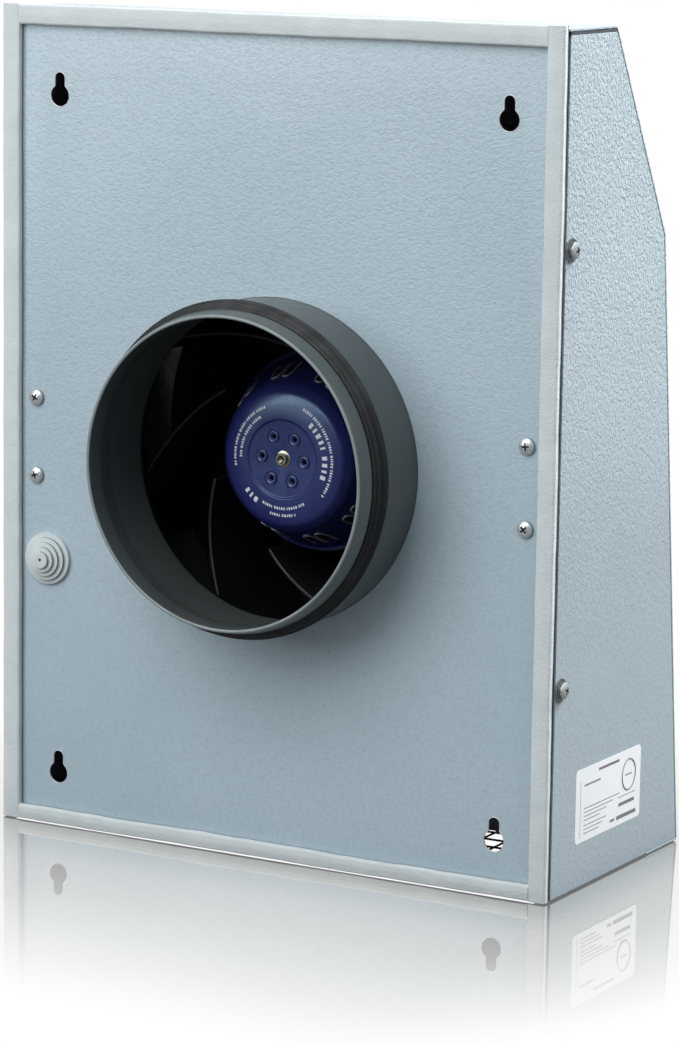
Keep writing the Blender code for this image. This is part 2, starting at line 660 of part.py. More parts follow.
def make_impeller(mat):
    """A hub round the rotor cup with its back disc, and the blades between the disc and the ring."""
    inner, front, disc_face = CUP_R + GAP, RIM_REAR + GAP, DISC_DEPTH - DISC_T
    turned("impeller_hub", [(inner, front), (HUB_R, front), (HUB_R, disc_face), (WHEEL_R, disc_face),
                            (WHEEL_R, DISC_DEPTH), (inner, DISC_DEPTH)], mat)
    for k in range(BLADES):
        make_blade(f"impeller_blade_{k + 1}", BLADE_PHASE + 2 * pi * k / BLADES, mat)
    make_front_ring(mat)


# Electrical parts ---------------------------------------------------------------------------------

def make_terminal_box(mat, block_mat, steel):
    """An open tray behind the back plate, its lid with two screws, and the block in it."""
    back = PLATE_BACK + GAP
    (x0, x1), (z0, z1) = BOX_X, BOX_Z
    tray = box("terminal_box", (x0, y_at(back), z0), (x1, y_at(BOX_DEPTH), z1), mat)
    hollow = box("cutter", (x0 + BOX_WALL, y_at(back + BOX_WALL), z0 + BOX_WALL),
                 (x1 - BOX_WALL, y_at(BOX_DEPTH + BOX_WALL), z1 - BOX_WALL))
    entry = depth_hole(GROMMET_X, GROMMET_Z, 13.3 * MM, back - SHEET, back + 2 * BOX_WALL, sides=MIDDLE)
    top_hole = rod("cutter", (LEAD_X, y_at(LEAD_DEPTH), z1 - 2 * BOX_WALL),
                   (LEAD_X, y_at(LEAD_DEPTH), z1 + BOX_WALL), LEAD_R + GAP)
    cut(tray, hollow, entry, top_hole)
    inset = BOX_WALL + 2.6 * MM
    posts = ((x0 + inset, z0 + inset), (x1 - inset, z1 - inset))
    for x, z in posts:
        join(tray, depth_hole(x, z, 3.2 * MM, back + BOX_WALL / 2, BOX_DEPTH))
        cut(tray, depth_hole(x, z, SCREW_R + GAP, BOX_DEPTH - 10 * MM, BOX_DEPTH + MM))
    lid_face = BOX_DEPTH + GAP
    lid = box("terminal_box_lid", (x0, y_at(lid_face), z0), (x1, y_at(lid_face + BOX_WALL), z1), mat)
    holes = [(MOTOR_LEAD_X, MOTOR_LEAD_Z, LEAD_R + GAP)] + [(x, z, HOLE_R) for x, z in posts]
    cut(lid, *[depth_hole(x, z, radius, BOX_DEPTH - MM, BOX_DEPTH + 4 * MM) for x, z, radius in holes])
    for i, (x, z) in enumerate(posts, 1):
        seat = (x, y_at(lid_face + BOX_WALL + GAP), z)
        pan_screw(f"lid_screw_{i}", seat, (0, -1, 0), 8.0 * MM, steel)
    block_x, block_z = (-139.0 * MM, -116.0 * MM), 110.0 * MM
    block_back = back + BOX_WALL + GAP
    block = box("terminal_block", (block_x[0], y_at(block_back), block_z),
                (block_x[1], y_at(block_back + 11 * MM), block_z + 9 * MM), block_mat)
    pitch = (block_x[1] - block_x[0]) / 3
    cut(block, *[depth_hole(block_x[0] + pitch * (k + 0.5), block_z + 4.5 * MM, 2.2 * MM,
                            block_back + 6 * MM, block_back + 12 * MM, sides=12) for k in range(3)])


def make_capacitor(case_mat, clip_mat):
    """A round can along X, held to the back plate by a sprung clip."""
    x0, x1 = CAPACITOR_X
    depth = PLATE_BACK + 3 * MM + CAPACITOR_R
    y = y_at(depth)
    rod("run_capacitor", (x0, y, CAPACITOR_Z), (x1, y, CAPACITOR_Z), CAPACITOR_R, case_mat, MIDDLE)
    inner, outer = CAPACITOR_R + GAP, CAPACITOR_R + GAP + SHEET
    foot = PLATE_BACK + GAP
    arc = [pi * (k / 12) for k in range(13)]
    outside = [(depth + outer * sin(t), CAPACITOR_Z + outer * cos(t)) for t in arc]
    inside = [(depth + inner * sin(t), CAPACITOR_Z + inner * cos(t)) for t in reversed(arc)]
    foot_z = CAPACITOR_Z - outer - 9 * MM
    outline = [(foot, CAPACITOR_Z + outer)] + outside
    outline += [(foot + SHEET, CAPACITOR_Z - outer), (foot + SHEET, foot_z), (foot, foot_z),
                (foot, CAPACITOR_Z - inner)]
    outline += inside + [(foot, CAPACITOR_Z + inner)]
    middle = (x0 + x1) / 2
    prism("capacitor_clip", outline, along_x, middle - 6 * MM, middle + 6 * MM, clip_mat)


def make_lead(name, route, mat):
    """A tube along a smooth curve through the route's (x, depth, z) points, in millimetres."""
    points = [Vector((x * MM, y_at(depth * MM), z * MM)) for x, depth, z in route]
    padded = [points[0] * 2 - points[1]] + points + [points[-1] * 2 - points[-2]]
    fine = []
    for p0, p1, p2, p3 in zip(padded, padded[1:], padded[2:], padded[3:]):
        pieces = max(2, round((p2 - p1).length / (4 * LEAD_R)))
        for k in range(pieces):
            t = k / pieces
            fine.append(((p1 * 2) + (p2 - p0) * t + (p0 * 2 - p1 * 5 + p2 * 4 - p3) * t ** 2
                         + (p1 * 3 - p0 - p2 * 3 + p3) * t ** 3) / 2)
    fine.append(points[-1])
    curve = bpy.data.curves.new(name, "CURVE")
    curve.dimensions = "3D"
    curve.bevel_depth = LEAD_R
    curve.bevel_resolution = 2
    curve.use_fill_caps = True
    spline = curve.splines.new("POLY")
    spline.points.add(len(fine) - 1)
    for slot, point in zip(spline.points, fine):
        slot.co = (*point, 1.0)
    curve.materials.append(mat)
    bpy.context.collection.objects.link(bpy.data.objects.new(name, curve))


def make_leads(mat):
    motor_route = [
        (-45.4, 100.6, 193.5), (-60, 100.6, 193.5), (-78, 100.6, 192.5), (-95, 100.6, 187),
        (-107, 100.2, 174), (-112.5, 97, 158), (-114, 89, 144), (-114, 76, 134.5), (-114, 60, 131.3),
        (-114, 44, 131), (-114, 30, 131)]
    capacitor_route = [
        (-143, 13, 146), (-143, 13, 160), (-143, 13, 190), (-143, 13, 225), (-143, 13, 262),
        (-143, 13, 298), (-141.5, 14.5, 318), (-134, 18, 333), (-121, 21, 340.5), (-104.6, 22, 342)]
    make_lead("motor_lead", motor_route, mat)
    make_lead("capacitor_lead", capacitor_route, mat)


def main():
    clear_scene()
    coated = make_material("coated_steel", (0.47, 0.56, 0.62), 0.55, 0.2)
    galvanised = make_material("galvanised_steel", (0.55, 0.57, 0.58), 0.45, 0.8)
    zinc = make_material("zinc_plated", (0.75, 0.76, 0.78), 0.3, 1.0)
    foam = make_material("foam", (0.62, 0.64, 0.66), 0.95, 0.0)
    grey = make_material("grey_plastic", (0.24, 0.27, 0.28), 0.45, 0.0)
    rubber = make_material("dark_rubber", (0.09, 0.08, 0.08), 0.8, 0.0)
    pale_rubber = make_material("pale_rubber", (0.58, 0.62, 0.62), 0.7, 0.0)
    blue = make_material("blue_paint", (0.06, 0.08, 0.28), 0.35, 0.0)
    black = make_material("black_plastic", (0.015, 0.015, 0.017), 0.5, 0.0)
    iron = make_material("laminated_iron", (0.2, 0.2, 0.21), 0.5, 0.9)
    copper = make_material("copper_winding", (0.5, 0.2, 0.08), 0.4, 0.8)
    paper = make_material("label_film", (0.82, 0.84, 0.86), 0.5, 0.0)
    pale = make_material("pale_plastic", (0.75, 0.75, 0.72), 0.5, 0.0)
    cable = make_material("cable_sheath", (0.03, 0.03, 0.03), 0.6, 0.0)

    make_back_plate(coated)
    make_outer_cover(coated)
    make_foam_seal(foam)
    make_spigot(grey, rubber)
    make_casing_screws(zinc)
    make_grommet(pale_rubber)
    make_label(paper)
    make_outlet_guard(galvanised)
    make_motor_bracket(galvanised)
    make_stator(zinc, iron, copper)
    make_bearings(zinc)
    make_rotor(blue, zinc, iron)
    make_impeller(black)
    make_terminal_box(black, pale, zinc)
    make_capacitor(pale, galvanised)
    make_leads(cable)


main()
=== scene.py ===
"""Looks of a wall-mounted centrifugal exhaust fan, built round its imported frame.

Frame: +X right, +Y from the wall into the room, +Z up, in metres. A "depth" is a distance from the
wall plane, the outer face of the foam seal, along +Y.
"""

from math import asin, atan2, cos, hypot, pi, radians, sin, tan

import bmesh
import bpy
from mathutils import Matrix, Vector


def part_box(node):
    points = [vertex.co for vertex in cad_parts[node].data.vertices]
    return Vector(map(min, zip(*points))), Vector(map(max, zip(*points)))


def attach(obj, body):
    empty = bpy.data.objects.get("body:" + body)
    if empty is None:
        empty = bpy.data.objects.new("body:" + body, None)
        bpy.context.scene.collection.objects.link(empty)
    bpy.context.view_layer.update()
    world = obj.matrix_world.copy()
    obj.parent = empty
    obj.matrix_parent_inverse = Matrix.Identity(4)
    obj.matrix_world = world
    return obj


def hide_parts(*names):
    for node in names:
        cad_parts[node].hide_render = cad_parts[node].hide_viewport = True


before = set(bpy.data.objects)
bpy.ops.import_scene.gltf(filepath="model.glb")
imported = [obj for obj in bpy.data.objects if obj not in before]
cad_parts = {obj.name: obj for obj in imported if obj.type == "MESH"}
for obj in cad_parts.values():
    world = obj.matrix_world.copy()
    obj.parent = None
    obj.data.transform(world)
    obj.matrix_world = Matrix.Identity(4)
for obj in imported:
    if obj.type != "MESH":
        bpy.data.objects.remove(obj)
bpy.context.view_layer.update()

MM = 0.001

# Camera
EYE = Vector((0.93958, -1.61607, 0.48674))
TARGET = Vector((0.03908, -0.04965, 0.16888))
ROLL = radians(0.85)
LENS = 134.6
BACKDROP_WAY = Vector((-0.5, 0.85, 0.15)).normalized()     # where the floor mirrors the backdrop

# Places that the frame gives
WALL_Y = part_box("foam_seal_left")[0].y
SIDE_X, COVER_Y, CASE_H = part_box("outer_cover")[1]
DEPTH_FOOT = COVER_Y - WALL_Y
AXIS_Z = (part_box("duct_spigot")[0].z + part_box("duct_spigot")[1].z) / 2

# Casing
SHEET = 1.0 * MM
SEAM = 0.12 * MM                  # gap between two sheets that meet
PANEL_INSET = 0.25 * MM           # the side panels stand back from the wrap's edges
DEPTH_TOP = 52.8 * MM
DEPTH_BEND = 110.5 * MM
BEND_Z = 302.8 * MM
FOLD_R = 3.0 * MM
OUTLET_DEPTH = 108.7 * MM
FOAM_T = 4.0 * MM
TOP_SLIT = 1.6 * MM               # between the top sheet and the side panels
WALL_SLIT = 2.1 * MM              # between the foam and the side panels
PLATE_EDGE = 14.0 * MM
PLATE_BACK = FOAM_T + SHEET
PLATE_HALF_W = SIDE_X - SHEET - 1.0 * MM
PLATE_TOP = CASE_H - SHEET - 0.3 * MM
KEY_X = 122.3 * MM
KEY_Z = (25.6 * MM, 361.1 * MM)
KEY_HEAD_R = 5.35 * MM
KEY_SLOT_W = 5.8 * MM
KEY_RISE = 8.4 * MM

# Duct spigot, by depth
SPIGOT_REACH = 44.2 * MM
LIP_R = 74.5 * MM
TIP_R = 76.4 * MM
COLLAR_R = 78.3 * MM
SPIGOT_WALL = 1.5 * MM
SPIGOT_FLANGE_R = 88.0 * MM
SEAL_DEPTHS = (-34.6 * MM, -24.3 * MM)

# Fasteners
SCREW_HEAD_R = 4.0 * MM
SCREW_HEAD_H = 2.6 * MM
SCREW_R = 1.95 * MM
HOLE_R = 2.4 * MM
BRACKET_SCREW_X = 135.3 * MM
BRACKET_SCREW_Z = (174.6 * MM, 213.1 * MM)
COVER_SCREW_DEPTH = 11.0 * MM
COVER_SCREW_Z = (99.8 * MM, 303.4 * MM)
WASHER_R = 5.6 * MM
WASHER_T = 1.0 * MM

# Motor and impeller, by depth
SHAFT_TIP = 10.7 * MM
CAP_FACE = 12.0 * MM
CAP_CROWN_R = 28.0 * MM
CAP_CROWN = 0.7 * MM              # how far the face's outside falls back
CONE_FRONT = (35.0 * MM, 16.0 * MM)
CONE_REAR = (47.4 * MM, 45.8 * MM)
RIM_FACE = 46.0 * MM
RIM_REAR = 48.0 * MM
RIM_R = 49.0 * MM
CUP_R = 46.5 * MM
CUP_WALL = 2.5 * MM
CUP_END = 86.0 * MM
CUP_HOLE_RING = 11.65 * MM
CUP_TURN = radians(-3)
RECESS_R = 18.5 * MM
CROWN_START = RECESS_R + 0.8 * MM
RECESS = 0.8 * MM
SHAFT_R = 4.0 * MM
BLADES = 7
WHEEL_R = 110.0 * MM
HUB_R = 50.0 * MM
DISC_DEPTH = 88.0 * MM
DISC_T = 2.0 * MM
EYE_R = 79.5 * MM
RING_FACE = 9.0 * MM
RING_FLARE = 11.0 * MM
RING_REAR = 28.0 * MM
RING_T = 2.0 * MM
BLADE_T = 2.0 * MM
BLADE_LEAN = (radians(63), radians(45))
BLADE_PHASE = radians(-113)

# Wire mesh, grommet and label
MESH_PITCH = 12.7 * MM
MESH_WIRE = 1.1 * MM
MESH_X0 = 73.5 * MM - 6 * MESH_PITCH
MESH_DEPTH0 = 70.7 * MM - 5 * MESH_PITCH
GROMMET_X, GROMMET_Z = -128.4 * MM, 133.5 * MM
LABEL_DEPTH = (30.0 * MM, 99.5 * MM)
LABEL_Z = (21.7 * MM, 57.2 * MM)

SQUARE = ((-1, -1), (1, -1), (1, 1), (-1, 1))
WHITE = (1.0, 1.0, 1.0)
FINE = 160                        # sides of the large round pieces,
MIDDLE = 64                       # of the middling ones,
SMALL = 32                        # and of the fasteners


def mm(*values):
    """Millimetres as metres."""
    return [value * MM for value in values]


def y_at(depth):
    """Row-frame Y of a distance from the wall plane."""
    return WALL_Y + depth


def placed(name, data):
    """Put a mesh, a lamp or a camera into the scene."""
    made = bpy.data.objects.new(name, data)
    bpy.context.scene.collection.objects.link(made)
    return made


# Camera, light and floor

def make_camera():
    data = bpy.data.cameras.new("camera")
    data.lens, data.sensor_width = LENS, 36.0
    data.clip_start, data.clip_end = 0.05, 50.0
    camera = placed("camera", data)
    turn = (TARGET - EYE).to_track_quat("-Z", "Y").to_matrix().to_4x4()
    camera.matrix_world = Matrix.Translation(EYE) @ turn @ Matrix.Rotation(ROLL, 4, "Z")
    bpy.context.scene.camera = camera
    bpy.context.scene.view_settings.view_transform = "Standard"


def area_light(name, place, aim, size, power):
    data = bpy.data.lights.new(name, "AREA")
    data.shape, data.energy = "RECTANGLE", power
    data.size, data.size_y = size
    light = placed(name, data)
    light.location = place
    light.rotation_mode = "QUATERNION"
    light.rotation_quaternion = (Vector(aim) - Vector(place)).to_track_quat("-Z", "Y")
    light.visible_camera = False
    return light


def make_world():
    """White behind the object; for its light, a soft dome, brighter overhead and on the right."""
    world = bpy.data.worlds.new("studio")
    world.use_nodes = True
    tree = world.node_tree
    direction = add(tree, "TexCoord").outputs["Generated"]
    across, _, height = split_xyz(tree, direction)
    dome = ramp(tree, map_range(tree, height, -1.0, 1.0),
                [(0.30, (0.12, 0.125, 0.13)), (0.50, (0.18, 0.19, 0.20)), (0.72, (0.44, 0.46, 0.48)),
                 (1.0, (0.72, 0.73, 0.74))])
    left, right, backdrop_edge, backdrop_full = 0.78, 1.22, 0.86, 0.93
    dome = mix_colour(tree, 1.0, dome, map_range(tree, across, -1.0, 1.0, left, right), "MULTIPLY")
    towards = add(tree, "VectorMath", (direction, BACKDROP_WAY), operation="DOT_PRODUCT").outputs["Value"]
    dome = mix_colour(tree, map_range(tree, towards, backdrop_edge, backdrop_full), dome, WHITE)
    seen = add(tree, "LightPath").outputs["Is Camera Ray"]
    tree.links.new(mix_colour(tree, seen, dome, WHITE), tree.nodes["Background"].inputs["Color"])
    bpy.context.scene.world = world


def make_lights():
    area_light("key", (-0.32, -1.35, 1.4), (0.0, 0.0, 0.25), (1.5, 1.2), 19.0)
    side = area_light("side", (0.75, 0.52, 1.02), (0.15, 0.0, 0.25), (0.7, 0.7), 24.0)
    side.visible_glossy = False         # or the side panel glares from below
    area_light("front", (-0.78, -1.32, 0.55), (0.0, 0.0, 0.2), (0.8, 0.6), 4.6)


def past(tree, value, middle, half):
    """How far value lies beyond half on either side of middle, or 0."""
    off = calc(tree, "ABSOLUTE", calc(tree, "SUBTRACT", value, middle))
    return calc(tree, "MAXIMUM", calc(tree, "SUBTRACT", off, half))


def make_floor():
    """A white floor that mirrors the object close to it, and can't be seen from below."""
    half, level = 4.0, -0.4 * MM
    fade, side_stretch, glow_round, edge = 0.25, 1.8, 0.20, 0.03
    inset, foam_gap = 6.0 * MM, 0.4 * MM
    mesh = bpy.data.meshes.new("floor")
    mesh.from_pydata([(half * a, half * b, level) for a, b in SQUARE], [], [(0, 1, 2, 3)])
    mat = bpy.data.materials.new("floor")
    mat.use_nodes = True
    tree = mat.node_tree
    tree.nodes.clear()
    geometry = add(tree, "NewGeometry")
    camera_ray = add(tree, "LightPath").outputs["Is Camera Ray"]
    x, y, _ = split_xyz(tree, geometry.outputs["Position"])
    far_x = calc(tree, "MULTIPLY", past(tree, x, 0.0, SIDE_X), side_stretch)
    far_y = past(tree, y, WALL_Y + DEPTH_FOOT / 2, DEPTH_FOOT / 2)
    squares = [calc(tree, "MULTIPLY", far, far) for far in (far_x, far_y)]
    distance = calc(tree, "SQRT", calc(tree, "ADD", *squares))
    falls = ((0.0, 0.85), (0.2, 0.61), (0.4, 0.50), (0.66, 0.28), (0.9, 0.06), (1.0, 0.0))
    fall = ramp(tree, map_range(tree, distance, 0.0, fade), [(place, (grey,) * 3) for place, grey in falls])
    bounced = map_range(tree, distance, 0.0, edge, 0.0, glow_round)
    glow = add(tree, "Emission", (WHITE, map_range(tree, camera_ray, 0.0, 1.0, bounced, 1.0)))
    mirror = add(tree, "BsdfGlossy", {"Roughness": 0.02, "Color": (0.8, 0.795, 0.755)})
    in_x = calc(tree, "SUBTRACT", SIDE_X - inset, calc(tree, "ABSOLUTE", x))
    past_foam = calc(tree, "SUBTRACT", y, WALL_Y + foam_gap)
    in_y = calc(tree, "MINIMUM", past_foam, calc(tree, "SUBTRACT", WALL_Y + DEPTH_FOOT - inset, y))
    outside = calc(tree, "LESS_THAN", calc(tree, "MINIMUM", in_x, in_y), 0.0)
    mirrored = calc(tree, "MULTIPLY", calc(tree, "MULTIPLY", fall, outside), camera_ray)
    top = mix_shader(tree, mirrored, glow, mirror)
    both = mix_shader(tree, geometry.outputs["Backfacing"], top, add(tree, "BsdfTransparent"))
    tree.links.new(both.outputs[0], add(tree, "OutputMaterial").inputs["Surface"])
    mesh.materials.append(mat)
    placed("floor", mesh)


# Node helpers

def add(tree, kind, inputs=(), **settings):
    """A node with its settings and its inputs, which come in a row from the first, or by name."""
    node = tree.nodes.new("ShaderNode" + kind)
    for name, value in settings.items():
        setattr(node, name, value)
    for place, value in inputs.items() if isinstance(inputs, dict) else enumerate(inputs):
        feed(tree, value, node.inputs[place])
    return node


def feed(tree, value, socket):
    """Link a socket, or set a plain number, vector or colour."""
    if isinstance(value, bpy.types.NodeSocket):
        tree.links.new(value, socket)
    elif isinstance(value, tuple) and len(value) < len(socket.default_value):
        socket.default_value = (*value, 1.0)
    else:
        socket.default_value = value


def calc(tree, operation, a, b=0.0):
    return add(tree, "Math", (a, b), operation=operation).outputs[0]


def map_range(tree, value, low, high, new_low=0.0, new_high=1.0):
    return add(tree, "MapRange", (value, low, high, new_low, new_high)).outputs["Result"]


def ramp(tree, factor, stops):
    node = add(tree, "ValToRGB", (factor,))
    elements = node.color_ramp.elements
    while len(elements) < len(stops):
        elements.new(0.5)
    for element, (place, colour) in zip(elements, stops):
        element.position = place
        element.color = (*colour, 1.0)
    return node.outputs["Color"]


def mix_colour(tree, factor, a, b, blend="MIX"):
    """Inputs 6 and 7 and output 2 of a Mix node are its colours."""
    return add(tree, "Mix", {0: factor, 6: a, 7: b}, data_type="RGBA", blend_type=blend).outputs[2]


def mix_shader(tree, factor, a, b):
    return add(tree, "MixShader", (factor, a.outputs[0], b.outputs[0]))


def split_xyz(tree, vector):
    return add(tree, "SeparateXYZ", (vector,)).outputs


def place_vector(tree, stretch=(1.0, 1.0, 1.0), turn=(0.0, 0.0, 0.0), shift=(0.0, 0.0, 0.0)):
    """The piece's own coordinates, which are row-frame metres at rest, stretched, turned and moved."""
    own = add(tree, "TexCoord").outputs["Object"]
    inputs = {"Vector": own, "Scale": stretch, "Rotation": turn, "Location": shift}
    return add(tree, "Mapping", inputs).outputs["Vector"]


def place_along(tree, axis):
    return split_xyz(tree, place_vector(tree))[axis]


def pattern(tree, kind, vector=None, settings=(), **inputs):
    """A texture node with its inputs set, on the piece's own coordinates."""
    inputs["Vector"] = vector or place_vector(tree)
    return add(tree, kind, inputs, **dict(settings))


def noise(tree, scale, detail=2.0, distortion=0.0, vector=None):
    made = pattern(tree, "TexNoise", vector, Scale=scale, Detail=detail, Distortion=distortion)
    return made.outputs["Fac"]


def cells(tree, scale, output="Distance"):
    return pattern(tree, "TexVoronoi", Scale=scale).outputs[output]


def bump(tree, height, distance, strength=1.0, below=None):
    """Relief on top of another bump's normals, where below gives them."""
    inputs = {"Height": height, "Distance": distance, "Strength": strength}
    if below:
        inputs["Normal"] = below
    return add(tree, "Bump", inputs).outputs["Normal"]


def finish_material(name, colour, roughness, normal=None, metallic=0.0, **constants):
    """A Principled material; colour, roughness and normal are plain, or functions that make them."""
    mat = bpy.data.materials.new(name)
    mat.use_nodes = True
    tree = mat.node_tree
    shader = tree.nodes["Principled BSDF"]
    inputs = {"Base Color": colour, "Roughness": roughness, "Normal": normal, "Metallic": metallic}
    for socket, value in {**inputs, **constants}.items():
        value = value(tree) if callable(value) else value
        if value is not None:
            feed(tree, value, shader.inputs[socket.replace("_", " ")])
    return mat


# Materials

def varied(low, high, scale):
    """A colour that drifts between two tones."""
    return lambda tree: ramp(tree, noise(tree, scale, 3.0), [(0.3, low), (0.7, high)])


def rough_between(low, high, scale):
    return lambda tree: map_range(tree, noise(tree, scale, 4.0), 0.3, 0.7, low, high)


def grain(scale, depth, strength, detail=2.0):
    """Fine relief, with its depth in metres."""
    return lambda tree: bump(tree, noise(tree, scale, detail), depth, strength)


def drifting(name, tones, rough, relief, **constants):
    """Two tones and two roughnesses, each with the scale of their drift, and a relief for grain()."""
    return finish_material(name, varied(*tones), rough_between(*rough), grain(*relief), **constants)


def shaded(shade, *tones):
    return [tuple(shade * v for v in tone) for tone in tones]


def coated_steel(name, low, high, painted_foot_shade, relief, scale, stretch, turn):
    """Pale blue-grey coated sheet, embossed all over; relief is the emboss's depth in metres.

    The third argument is painted shade: the colour's factor at the foot, easing to 1 over the middle height.
    """
    def emboss(tree):
        return map_range(tree, noise(tree, scale, 1.5, 0.8, place_vector(tree, stretch, turn)), 0.34, 0.58)

    def colour(tree):
        # Painted shade: the colour is darker in the emboss's valleys and darker towards the bottom.
        painted_valley_shade = map_range(tree, emboss(tree), 0.0, 1.0, 0.93, 1.02)
        painted_low_shade = map_range(tree, place_along(tree, 2), 0.38 * CASE_H, 0.58 * CASE_H, painted_foot_shade, 1.0)
        shade = calc(tree, "MULTIPLY", painted_valley_shade, painted_low_shade)
        return mix_colour(tree, 1.0, varied(low, high, 9.0)(tree), shade, "MULTIPLY")

    def normal(tree):
        waves = bump(tree, noise(tree, 6.5, 1.0), 0.0035, 0.35)
        deeper = map_range(tree, place_along(tree, 2), 0.25 * CASE_H, 0.8 * CASE_H, 0.16, 1.0)
        ridges = bump(tree, calc(tree, "MULTIPLY", emboss(tree), deeper), relief, 1.0, waves)
        return bump(tree, noise(tree, 2600.0), 0.00003, 0.5, ridges)
    return finish_material(name, colour, rough_between(0.26, 0.40, 300.0), normal,
                           Specular_IOR_Level=0.6, Coat_Weight=0.25, Coat_Roughness=0.16)


def bare_edge():
    return finish_material("bare_edge", varied((0.72, 0.74, 0.76), (0.88, 0.89, 0.90), 900.0), 0.35,
                           grain(2500.0, 0.00003, 0.6), metallic=0.6)


def galvanised():
    """Grey flakes of zinc."""
    def colour(tree):
        grey = split_xyz(tree, cells(tree, 160.0, "Color"))[0]
        return ramp(tree, grey, [(0.0, (0.42, 0.44, 0.45)), (1.0, (0.62, 0.64, 0.65))])
    return finish_material("galvanised_steel", colour, rough_between(0.28, 0.5, 200.0),
                           lambda tree: bump(tree, cells(tree, 160.0), 0.00004, 0.5), metallic=0.85)


def zinc(name="zinc_plate", shade=1.0):
    tones = shaded(shade, (0.60, 0.64, 0.65), (0.78, 0.81, 0.82))
    return drifting(name, (*tones, 700.0), (0.22, 0.38, 900.0), (1800.0, 0.00003, 0.5), metallic=0.65)


def machined(name, low, high):
    """Turned steel: rings about the depth axis come from stretched noise."""
    def normal(tree):
        return bump(tree, noise(tree, 60.0, 3.0, 0.0, place_vector(tree, (1, 40, 1))), 0.00003, 0.6)
    return finish_material(name, varied(low, high, 500.0), rough_between(0.2, 0.35, 700.0), normal,
                           metallic=1.0)


def foam():
    """Pale foam, painted darker along its back as the shadow of the slit beside it."""
    def colour(tree):
        pale = ramp(tree, noise(tree, 60.0, 6.0), [(0.3, (0.60, 0.665, 0.68)), (0.7, (0.68, 0.74, 0.755))])
        # Painted shadow: the back of the strip is darkened from 2.8 mm deep onwards.
        painted_gap_shadow = map_range(tree, place_along(tree, 1), y_at(2.8 * MM), y_at(3.1 * MM), 1.0, 0.2)
        return mix_colour(tree, 1.0, pale, painted_gap_shadow, "MULTIPLY")

    def normal(tree):
        return bump(tree, cells(tree, 1500.0), 0.00025, 0.6, grain(130.0, 0.0009, 0.5, 3.0)(tree))
    return finish_material("foam", colour, 0.95, normal,
                           Sheen_Weight=0.25, Sheen_Roughness=0.6, Specular_IOR_Level=0.2)


def duct_grey():
    """Dark grey plastic, painted paler in patches on the rim of its lip as a highlight."""
    def colour(tree):
        drift = varied((0.072, 0.087, 0.089), (0.089, 0.106, 0.108), 25.0)(tree)
        # Painted highlight: a paler tone on the lip's rim, in patches.
        rim = [y_at(MM * back - SPIGOT_REACH) for back in (0.8, 0.3)]
        patches = map_range(tree, noise(tree, 60.0, 4.0), 0.2, 0.6, 0.55, 1.0)
        painted_lip_highlight = calc(tree, "MULTIPLY", map_range(tree, place_along(tree, 1), *rim), patches)
        return mix_colour(tree, painted_lip_highlight, drift, (0.25, 0.29, 0.30))

    def normal(tree):
        return bump(tree, noise(tree, 2200.0), 0.00003, 0.5, grain(22.0, 0.001, 0.2, 1.0)(tree))
    return finish_material("duct_grey", colour, rough_between(0.30, 0.42, 160.0), normal,
                           Specular_IOR_Level=0.5, Coat_Weight=0.2, Coat_Roughness=0.2)


def seal_rubber():
    """Black rubber with a trace of pale dust."""
    stops = [(0.35, (0.007, 0.0092, 0.0105)), (0.62, (0.0135, 0.0172, 0.0195)), (0.8, (0.042, 0.051, 0.055))]
    return finish_material("seal_rubber", lambda tree: ramp(tree, noise(tree, 45.0, 6.0), stops),
                           rough_between(0.5, 0.75, 120.0), grain(900.0, 0.00012, 0.6, 4.0))


def grommet_rubber(name="grommet_rubber", shade=1.0):
    tones = shaded(shade, (0.58, 0.65, 0.66), (0.64, 0.71, 0.72))
    return drifting(name, (*tones, 90.0), (0.5, 0.65, 260.0), (1500.0, 0.00005, 0.5, 3.0),
                    Specular_IOR_Level=0.35)


def motor_blue(name, low, high):
    return drifting(name, (low, high, 40.0), (0.26, 0.36, 140.0), (420.0, 0.00005, 0.5),
                    Specular_IOR_Level=0.95, Specular_Tint=(0.55, 0.8, 1.0))


def impeller_black():
    return drifting("impeller_black", ((0.006, 0.006, 0.007), (0.012, 0.012, 0.013), 30.0),
                    (0.38, 0.52, 90.0), (700.0, 0.00005, 0.5, 3.0), Specular_IOR_Level=0.4)


def striped(name, stops, rough, relief, metallic, kind, scale, distortion, shift=(0.0, 0.0, 0.0)):
    """Fine stripes from a wave texture, in colour and as relief (depth, strength)."""
    def wave(tree):
        return pattern(tree, "TexWave", place_vector(tree, shift=shift), kind, Scale=scale,
                       Distortion=distortion).outputs["Fac"]
    return finish_material(name, lambda tree: ramp(tree, wave(tree), stops), rough,
                           lambda tree: bump(tree, wave(tree), *relief), metallic=metallic)


def laminated_iron():
    """Stacked laminations: bands along the depth axis."""
    return striped("laminated_iron", [(0.2, (0.07, 0.07, 0.075)), (0.8, (0.2, 0.2, 0.21))],
                   rough_between(0.35, 0.55, 300.0), (0.0001, 0.6), 0.9, {"bands_direction": "Y"}, 320.0, 0.4)


def copper():
    """Enamelled turns of wire, wound round the duct's axis."""
    return striped("copper_winding", [(0.1, (0.18, 0.055, 0.02)), (0.8, (0.55, 0.2, 0.075))], 0.32,
                   (0.0003, 0.8), 0.8, {"wave_type": "RINGS", "rings_direction": "Y"}, 260.0, 3.0,
                   (0.0, 0.0, -AXIS_Z))


def label_film():
    return drifting("label_film", ((0.83, 0.86, 0.88), (0.88, 0.90, 0.92), 35.0), (0.35, 0.5, 200.0),
                    (500.0, 0.00004, 0.4, 3.0))


def ink(name, low, high):
    return finish_material(name, varied(low, high, 1500.0), 0.55, grain(2500.0, 0.00002, 0.4))


def moulded(name, low, high, roughness):
    """Plastic with the grain of a spark-eroded mould."""
    rough = (roughness - 0.07, roughness + 0.07, 250.0)
    return drifting(name, (low, high, 60.0), rough, (1300.0, 0.00008, 0.6, 3.0))


